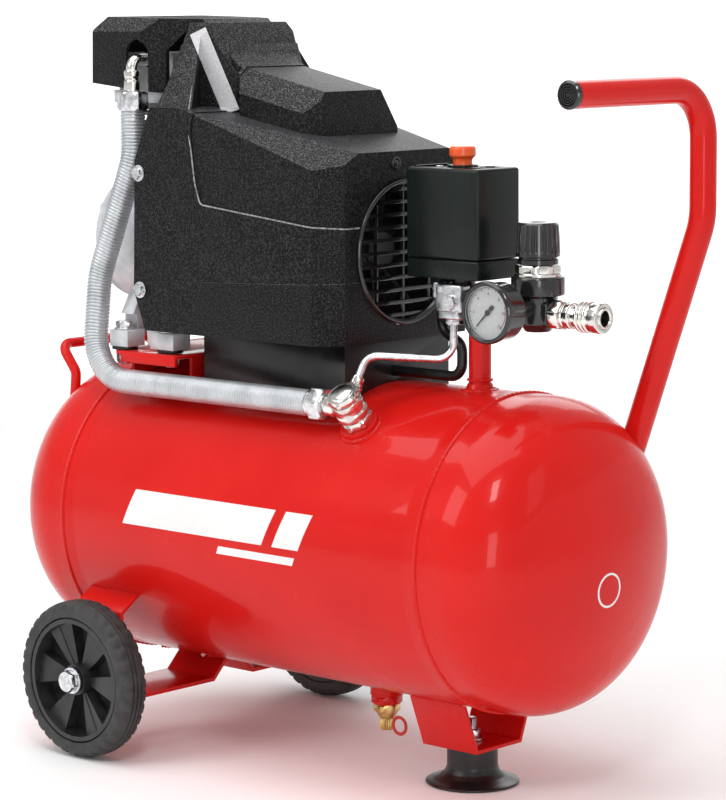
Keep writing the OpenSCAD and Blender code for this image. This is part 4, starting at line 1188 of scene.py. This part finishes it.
def coupler():
    o = (0, 0, COUPLER_Z)
    body = [hexagon(21, 221.1, 230.1, o, X_AXIS, bore=4, turn=0.2),
            lathe([(4, 230), (9.4, 230), (9.8, 231), (9.8, 232), (8.9, 233), (8.9, 235), (9.9, 236),
                   (9.9, 238.4), (8.8, 239.2), (8.8, 240.2), (8.15, 240.4), (8.15, 266), (7.6, 267.9),
                   (6.2, 267.9), (5.5, 266.8), (5.5, 246), (4, 246)], o, X_AXIS, 72, closed=True,
                  soft=0.25)]
    stand_in("coupler_body", body, nickel)
    sleeve = [(8.3, 245.1), (10.2, 245.1), (10.6, 245.6)]
    for x in (246.2, 249.7, 253.2):
        sleeve += [(11.2, x), (11.6, x + 0.5), (11.6, x + 1.7), (11.0, x + 2.2), (10.5, x + 2.5)]
    sleeve += [(10.4, 257.6), (10.5, 259), (11.6, 259.6), (11.6, 265), (11.2, 266), (10.4, 266.4),
               (8.3, 266.4)]
    sleeve = lathe(sleeve, o, X_AXIS, 96, closed=True, soft=0.3)
    stand_in("coupler_sleeve", [sleeve], nickel, body="release_sleeve")


coupler()


# ---------- discharge line ----------

HOSE_Y = -86.0
HOSE_Z = 293.5
HOSE_R = 10.0
ELBOW_X = -156.0
ELBOW_Y = -66.0


def check_valve():
    body = [disc(7.9, 117.2, 126.2, VALVE_O, VALVE_AXIS),
            hexagon(24, 125.1, 132.1, VALVE_O, VALVE_AXIS, turn=0.3),
            lathe([(0, 132), (11, 132), (12.5, 133.5), (12.5, 138), (11.7, 139), (11.7, 143),
                   (12.5, 144), (12.5, 148.6), (0, 148.9)], VALVE_O, VALVE_AXIS, 72, soft=0.6),
            hexagon(24, 148.9, 154.8, VALVE_O, VALVE_AXIS, chamfer=1.6, turn=0.1),
            lathe([(0, 154.6), (9.2, 154.6), (8.6, 155.9), (7.6, 156.3), (0, 156.3)], VALVE_O,
                  VALVE_AXIS, 64)]
    o = (0, HOSE_Y, HOSE_Z)
    body.append(lathe([(0, 70), (7.4, 70), (7.4, 73), (8.6, 74.5), (8.6, 80), (7.6, 82), (7.6, 88),
                       (0, 88)], o, X_AXIS, 56, soft=0.5))
    body.append(hexagon(10, 0, 6, (90, -77, 304), (0, 0.5, 0.866)))
    body.append(hexagon(9, -3, 4.2, (90, -73.2, 310.6), (0, 0.5, 0.866), turn=0.3))
    stand_in("check_valve", body, nickel)


def hose_nuts():
    o = (0, HOSE_Y, HOSE_Z)
    parts = [hexagon(23, 59, 72, o, X_AXIS, bore=7.6, chamfer=1.5, turn=0.15),
             lathe([(7.6, 56), (10.8, 56), (11.2, 57), (11.2, 59.4), (7.6, 59.4)], o, X_AXIS, 64,
                   closed=True, soft=0.3),
             hexagon(22, 508, 523, (ELBOW_X, ELBOW_Y, 0), bore=5.1, chamfer=1.5, turn=0.4)]
    stand_in("hose_nuts", parts, zinc)


def hose():
    path = fillet_path([(ELBOW_X, ELBOW_Y, 507.9), (ELBOW_X, ELBOW_Y, 470), (-187, -76, 375),
                        (-186, HOSE_Y, HOSE_Z), (55.9, HOSE_Y, HOSE_Z)], [0, 60, 70, 38, 0], 2)
    pitch = 2.7

    def coils(s, a):
        wire = (s / pitch + a / (2 * math.pi)) % 1 - 0.5
        return HOSE_R - 1.7 + 1.7 * math.sqrt(max(0.0, 1 - (2 * wire) ** 2))
    stand_in("discharge_hose", [tube(path, HOSE_R, 32, 0.27, coils)], spring, angle=180)
    ends = [ring(6, 9.4, 0, 7, (ELBOW_X, ELBOW_Y, 500.8), soft=0.8, n=56)]
    piece("hose_ferrules", ends, zinc)


def elbow():
    path = fillet_path([(ELBOW_X, -42.1, 548), (ELBOW_X, ELBOW_Y, 548), (ELBOW_X, ELBOW_Y, 511)],
                       [0, 7, 0], 1.2)
    o = (ELBOW_X, ELBOW_Y, 0)
    parts = [tube(path, 5, 32, 1.2),
             lathe([(5.2, 523.1), (6.2, 523.1), (6.8, 524), (6.8, 531), (6.1, 532), (6.1, 534),
                    (6.8, 535), (6.8, 539), (6, 540.2), (5.2, 540.2)], o,
                   n=64, closed=True, soft=0.6),
             hexagon(15, 42.1, 46.5, (ELBOW_X, 0, 548), NEAR, bore=5, chamfer=0.9)]
    stand_in("outlet_elbow", parts, nickel)


def unloader_tube():
    path = fillet_path([(90, -74, 309.2), (90, -62, 330), (137, -17, 326), (137, -17, 352.4)],
                       [0, 12, 12, 0], 1)
    stand_in("unloader_tube", [tube(path, 3, 24, 1.5)], zinc)


check_valve()
hose_nuts()
hose()
elbow()
unloader_tube()


# ---------- pump ----------

for node in ("crankcase", "crankcase_cover", "cylinder_head", "piston", "connecting_rod"):
    carried(node, cast, 0.5)
for node in ("finned_cylinder", "stator"):
    carried(node, iron, 0.3)
carried("rotor_shaft", shaft_steel, 0.3)
carried("sight_glass", sight, 0.3)
carried("breather_cap", cap_red, 0.5)
carried("intake_filter", grain_and_painted_light, 0.6)
carried("fan", hub_black, 0.3)
piece("fan_cap", [disc(14.5, 46.1, 51, (0, 0, 403), X_AXIS, 1.6)], hub_black, body="crank_train")


# ---------- shroud ----------

SHROUD_W = 85.0
END_X = 74.0
SKIRT_Z = 336.0
SHAFT_Z = 403.0
GRILLE_R = 56.0
CORNER = 17.4
ROOF_TILT = math.radians(17.4)
BLOCK_TILT = math.radians(12)
BEYOND = 300


def casing(name, i, down):
    """The shroud's lower casing, shoulder and middle block; i is the inset from the outer skin."""
    w = SHROUD_W - i
    lower = raw_object(name, [prism([(-125 - down, SKIRT_Z - down), (END_X - i, SKIRT_Z - down),
                                     (END_X - i, 480 - i), (20, 492 - i), (-84, 511 - i),
                                     (-116 - down, 511 - i), (-134 - down, 470), (-137 - down, 367)],
                                    -w - 5, w + 5)])
    plan = [(-BEYOND, -w), (END_X - CORNER, -w), (END_X - i, -w + CORNER - 0.41 * i),
            (END_X - i, w - CORNER + 0.41 * i), (END_X - CORNER, w), (-BEYOND, w)]
    keep(lower, prism(plan, 200, 600, "Z"))
    roof = prism([(-105, -BEYOND), (-105, -10 - 1.1 * i), (0, 42.5 - 1.1 * i), (105, -10 - 1.1 * i),
                  (105, -BEYOND)], -BEYOND, BEYOND, "X")
    roof = turned(roof, Matrix.Rotation(ROOF_TILT, 3, "Y"), (0, 0, 485.7))
    keep(lower, roof)

    shoulder = raw_object("shoulder", [prism([(-134 - down, 440), (-134 - down, 470), (-116 - down, 511),
                                              (-112 - down, 530), (-112 - down, 577 - i),
                                              (-92 - i, 577 - i), (-66 - i, 533), (-24 - i, 440)],
                                             -w - 5, w + 5)])
    sides = prism([(-w, 400), (-w, 498 - 0.4 * i), (-44 + i, 577 - i), (44 - i, 577 - i),
                   (w, 498 - 0.4 * i), (w, 400)], -BEYOND, BEYOND, "X")
    keep(shoulder, sides)
    plan = [(-BEYOND, -w), (-73.5 - 1.8 * i, -w), (-95 - 1.45 * i, -51.3 + 0.41 * i),
            (-63 - 0.4 * i, -36 + 0.9 * i), (-63 - 0.4 * i, 36 - 0.9 * i),
            (-95 - 1.45 * i, 51.3 - 0.41 * i), (-73.5 - 1.8 * i, w), (-BEYOND, w)]
    keep(shoulder, prism(plan, 200, 600, "Z"))

    block = raw_object("block", [prism([(-110, 450), (27 - i, 450), (26 - i, 491), (19 - i, 540),
                                        (-110, 567)], -80, 80)])
    sides = prism([(i - 50, -140), (i - 48, -17.5 - 0.4 * i), (0.4 * i - 32, -i), (32 - 0.4 * i, -i),
                   (60 - i, -52), (60 - i, -140)], -130, 130, "X")
    sides = turned(sides, Matrix.Rotation(BLOCK_TILT, 3, "Y"), (0, 0, 529))
    keep(block, sides)
    plan = [(-BEYOND, i - 36.5), (-65, i - 36.5), (-50, i - 53), (8 - 0.4 * i, i - 53),
            (26 - i, 0.4 * i - 34.5), (26 - i, 46 - 0.4 * i), (12 - 0.4 * i, 60 - i), (-50, 60 - i),
            (-66, 36.5 - i), (-BEYOND, 36.5 - i)]
    keep(block, prism(plan, 200, 600, "Z"))
    combine(lower, shoulder, "UNION")
    return combine(lower, block, "UNION")


def hood(name, i, down):
    body = raw_object(name, [prism([(-207 + i, 529 - down), (-206 + i, 572), (-197 + i, 582 - i),
                                    (-105 - i, 580 - i), (-66 - i, 543 - i), (-66 - i, 520 - down),
                                    (-116, 511 - down), (-127, 521 - down)], -70, 70)])
    sides = prism([(i - 62, 400), (i - 62, 570), (i - 53, 582 - i), (53 - i, 582 - i), (62 - i, 570),
                   (62 - i, 400)], -BEYOND, BEYOND, "X")
    keep(body, sides)
    half = [(-BEYOND, i - 62), (-150 - i, i - 62), (-105 - i, i - 37), (0, i - 37)]
    plan = half + [(x, -y) for x, y in half[::-1]]
    return keep(body, prism(plan, 200, 600, "Z"))


def soften_solid(obj, width, angle=12, segments=3):
    """Merges coplanar faces, then rounds every edge sharper than the angle."""
    bm = bmesh.new()
    bm.from_mesh(obj.data)
    bmesh.ops.remove_doubles(bm, verts=bm.verts[:], dist=0.00005)
    bmesh.ops.dissolve_limit(bm, angle_limit=math.radians(1.0), verts=bm.verts[:], edges=bm.edges[:])
    edges = [e for e in bm.edges if len(e.link_faces) == 2 and e.calc_face_angle(0) > math.radians(angle)]
    bmesh.ops.bevel(bm, geom=edges, offset=width * MM, segments=segments, profile=0.5, affect="EDGES",
                    clamp_overlap=True)
    bmesh.ops.triangulate(bm, faces=[f for f in bm.faces if len(f.verts) > 4])
    bm.to_mesh(obj.data)
    bm.free()
    return obj


def raised_plate(rise, outline):
    """A plate that stands proud of the casing, inside an outline of (x, z) points."""
    plate = casing("plate", -rise, 0)
    keep(plate, prism(outline, -130, 130))
    cut(plate, slab(-300, 200, -200, 200, 0, SKIRT_Z, 0))
    return soften_solid(plate, 0.5, 12, 1)


def shroud():
    skin = combine(casing("shroud_shell", 0, 0), hood("hood", 0, 0), "UNION")
    # plate that stands a little proud, below and behind the step line
    edge = [(-61, 560), (-61, 544), (-68, 507), (-71, 497), (-69.5, 468), (-65.5, 452), (-61, 438),
            (57, 425.5), (120, 423)]
    near_plate = raised_plate(0.9, [(-220, 300), (-220, 560)] + edge + [(120, 300)])
    lower_plate = raised_plate(1.7, [(-77, 300), (-77, 336), (-73, 347), (-64, 369), (-60, 378), (62, 383),
                                     (120, 384), (120, 300)])
    soften_solid(skin, 3.2)
    combine(skin, near_plate, "UNION")
    combine(skin, lower_plate, "UNION")
    combine(skin, casing("inside", 2.6, 20), "DIFFERENCE")
    combine(skin, hood("inside", 2.6, 20), "DIFFERENCE")
    cut(skin, lathe([(0, END_X - 9), (GRILLE_R, END_X - 9), (GRILLE_R, END_X + 5), (0, END_X + 5)],
                    (0, 0, SHAFT_Z), X_AXIS, 128))
    arch = [(-11, 500), (11, 500)] + [(11 * math.cos(math.radians(15 * k)),
                                       553 + 11 * math.sin(math.radians(15 * k))) for k in range(13)]
    cut(skin, prism([(ELBOW_X + x, z) for x, z in arch], -70, -55))
    for k in range(5):
        cut(skin, slab(-190 + 15 * k, -183 + 15 * k, -34, 34, 570, 590, 1.0))
    dress(skin, grain_and_painted_light, FRAME_BODY, ["shroud"], 40)


def step_highlight_bead():
    """A thin lip along the edges of the raised plate, coloured light grey as a painted highlight where the
    edge catches light.
    """
    upper = fillet_path([(-89, -61.5, 543.5), (-75.5, -84.8, 501), (-70.2, -86, 480), (-66.5, -86, 454),
                         (-61, -86, 438), (56.6, -86, 425.5), (75, -67.8, 424), (75, -52.5, 424)],
                        [0, 6, 20, 10, 5, 3, 3, 0], 1.5)
    parts = [tube(upper, 0.6, 10, 2)]
    piece("step_highlight_bead", parts, bead_highlight_grey)


shroud()
step_highlight_bead()
# painted highlight: the light grey strip stands where a chamfer facet of the shroud catches light
carried("shroud_strip", strip_highlight_grey, 0.25)


def grille():
    o = (0, 0, SHAFT_Z)
    parts = [lathe([(51.4, 70.4), (55.8, 70.4), (55.8, 76.4), (54.6, 77.6), (53.2, 77.2), (51.4, 74.6)],
                   o, X_AXIS, 144, closed=True, soft=0.5)]
    for k in range(-5, 6):
        z = 9.6 * k
        half = math.sqrt(52.4 ** 2 - z ** 2)
        parts.append(slab(70.4, 73.6, -half, half, SHAFT_Z + z - 1.5, SHAFT_Z + z + 1.5, 0.6, 2))
    for y in (-30, 0, 30):
        half = math.sqrt(52.4 ** 2 - y ** 2)
        parts.append(slab(69.6, 72.4, y - 1.2, y + 1.2, SHAFT_Z - half, SHAFT_Z + half, 0.4, 2))
    stand_in("fan_grille", parts, gloss_black)


grille()


def shroud_screws():
    parts = []
    for out in (NEAR, Y_AXIS):
        for z in (368, 460):
            o = (-129, 0, z)
            parts += [disc(6.5, 86.0, 87.4, o, out, 0.4, 48),
                      hexagon(9, 87.3, 90.0, o, out, chamfer=0.7, turn=0.3),
                      disc(2.4, 73, 87, o, out, 0.3, 24)]
    stand_in("shroud_screws", parts, zinc)
    o = (0, -10, 471)
    cup = [ring(3.2, 5.2, END_X - 0.4, END_X + 0.9, o, X_AXIS, 0.4, 48),
           disc(2.9, END_X - 0.4, END_X + 0.5, o, X_AXIS, 0.4, 40)]
    piece("end_screw", cup, gloss_black)


shroud_screws()
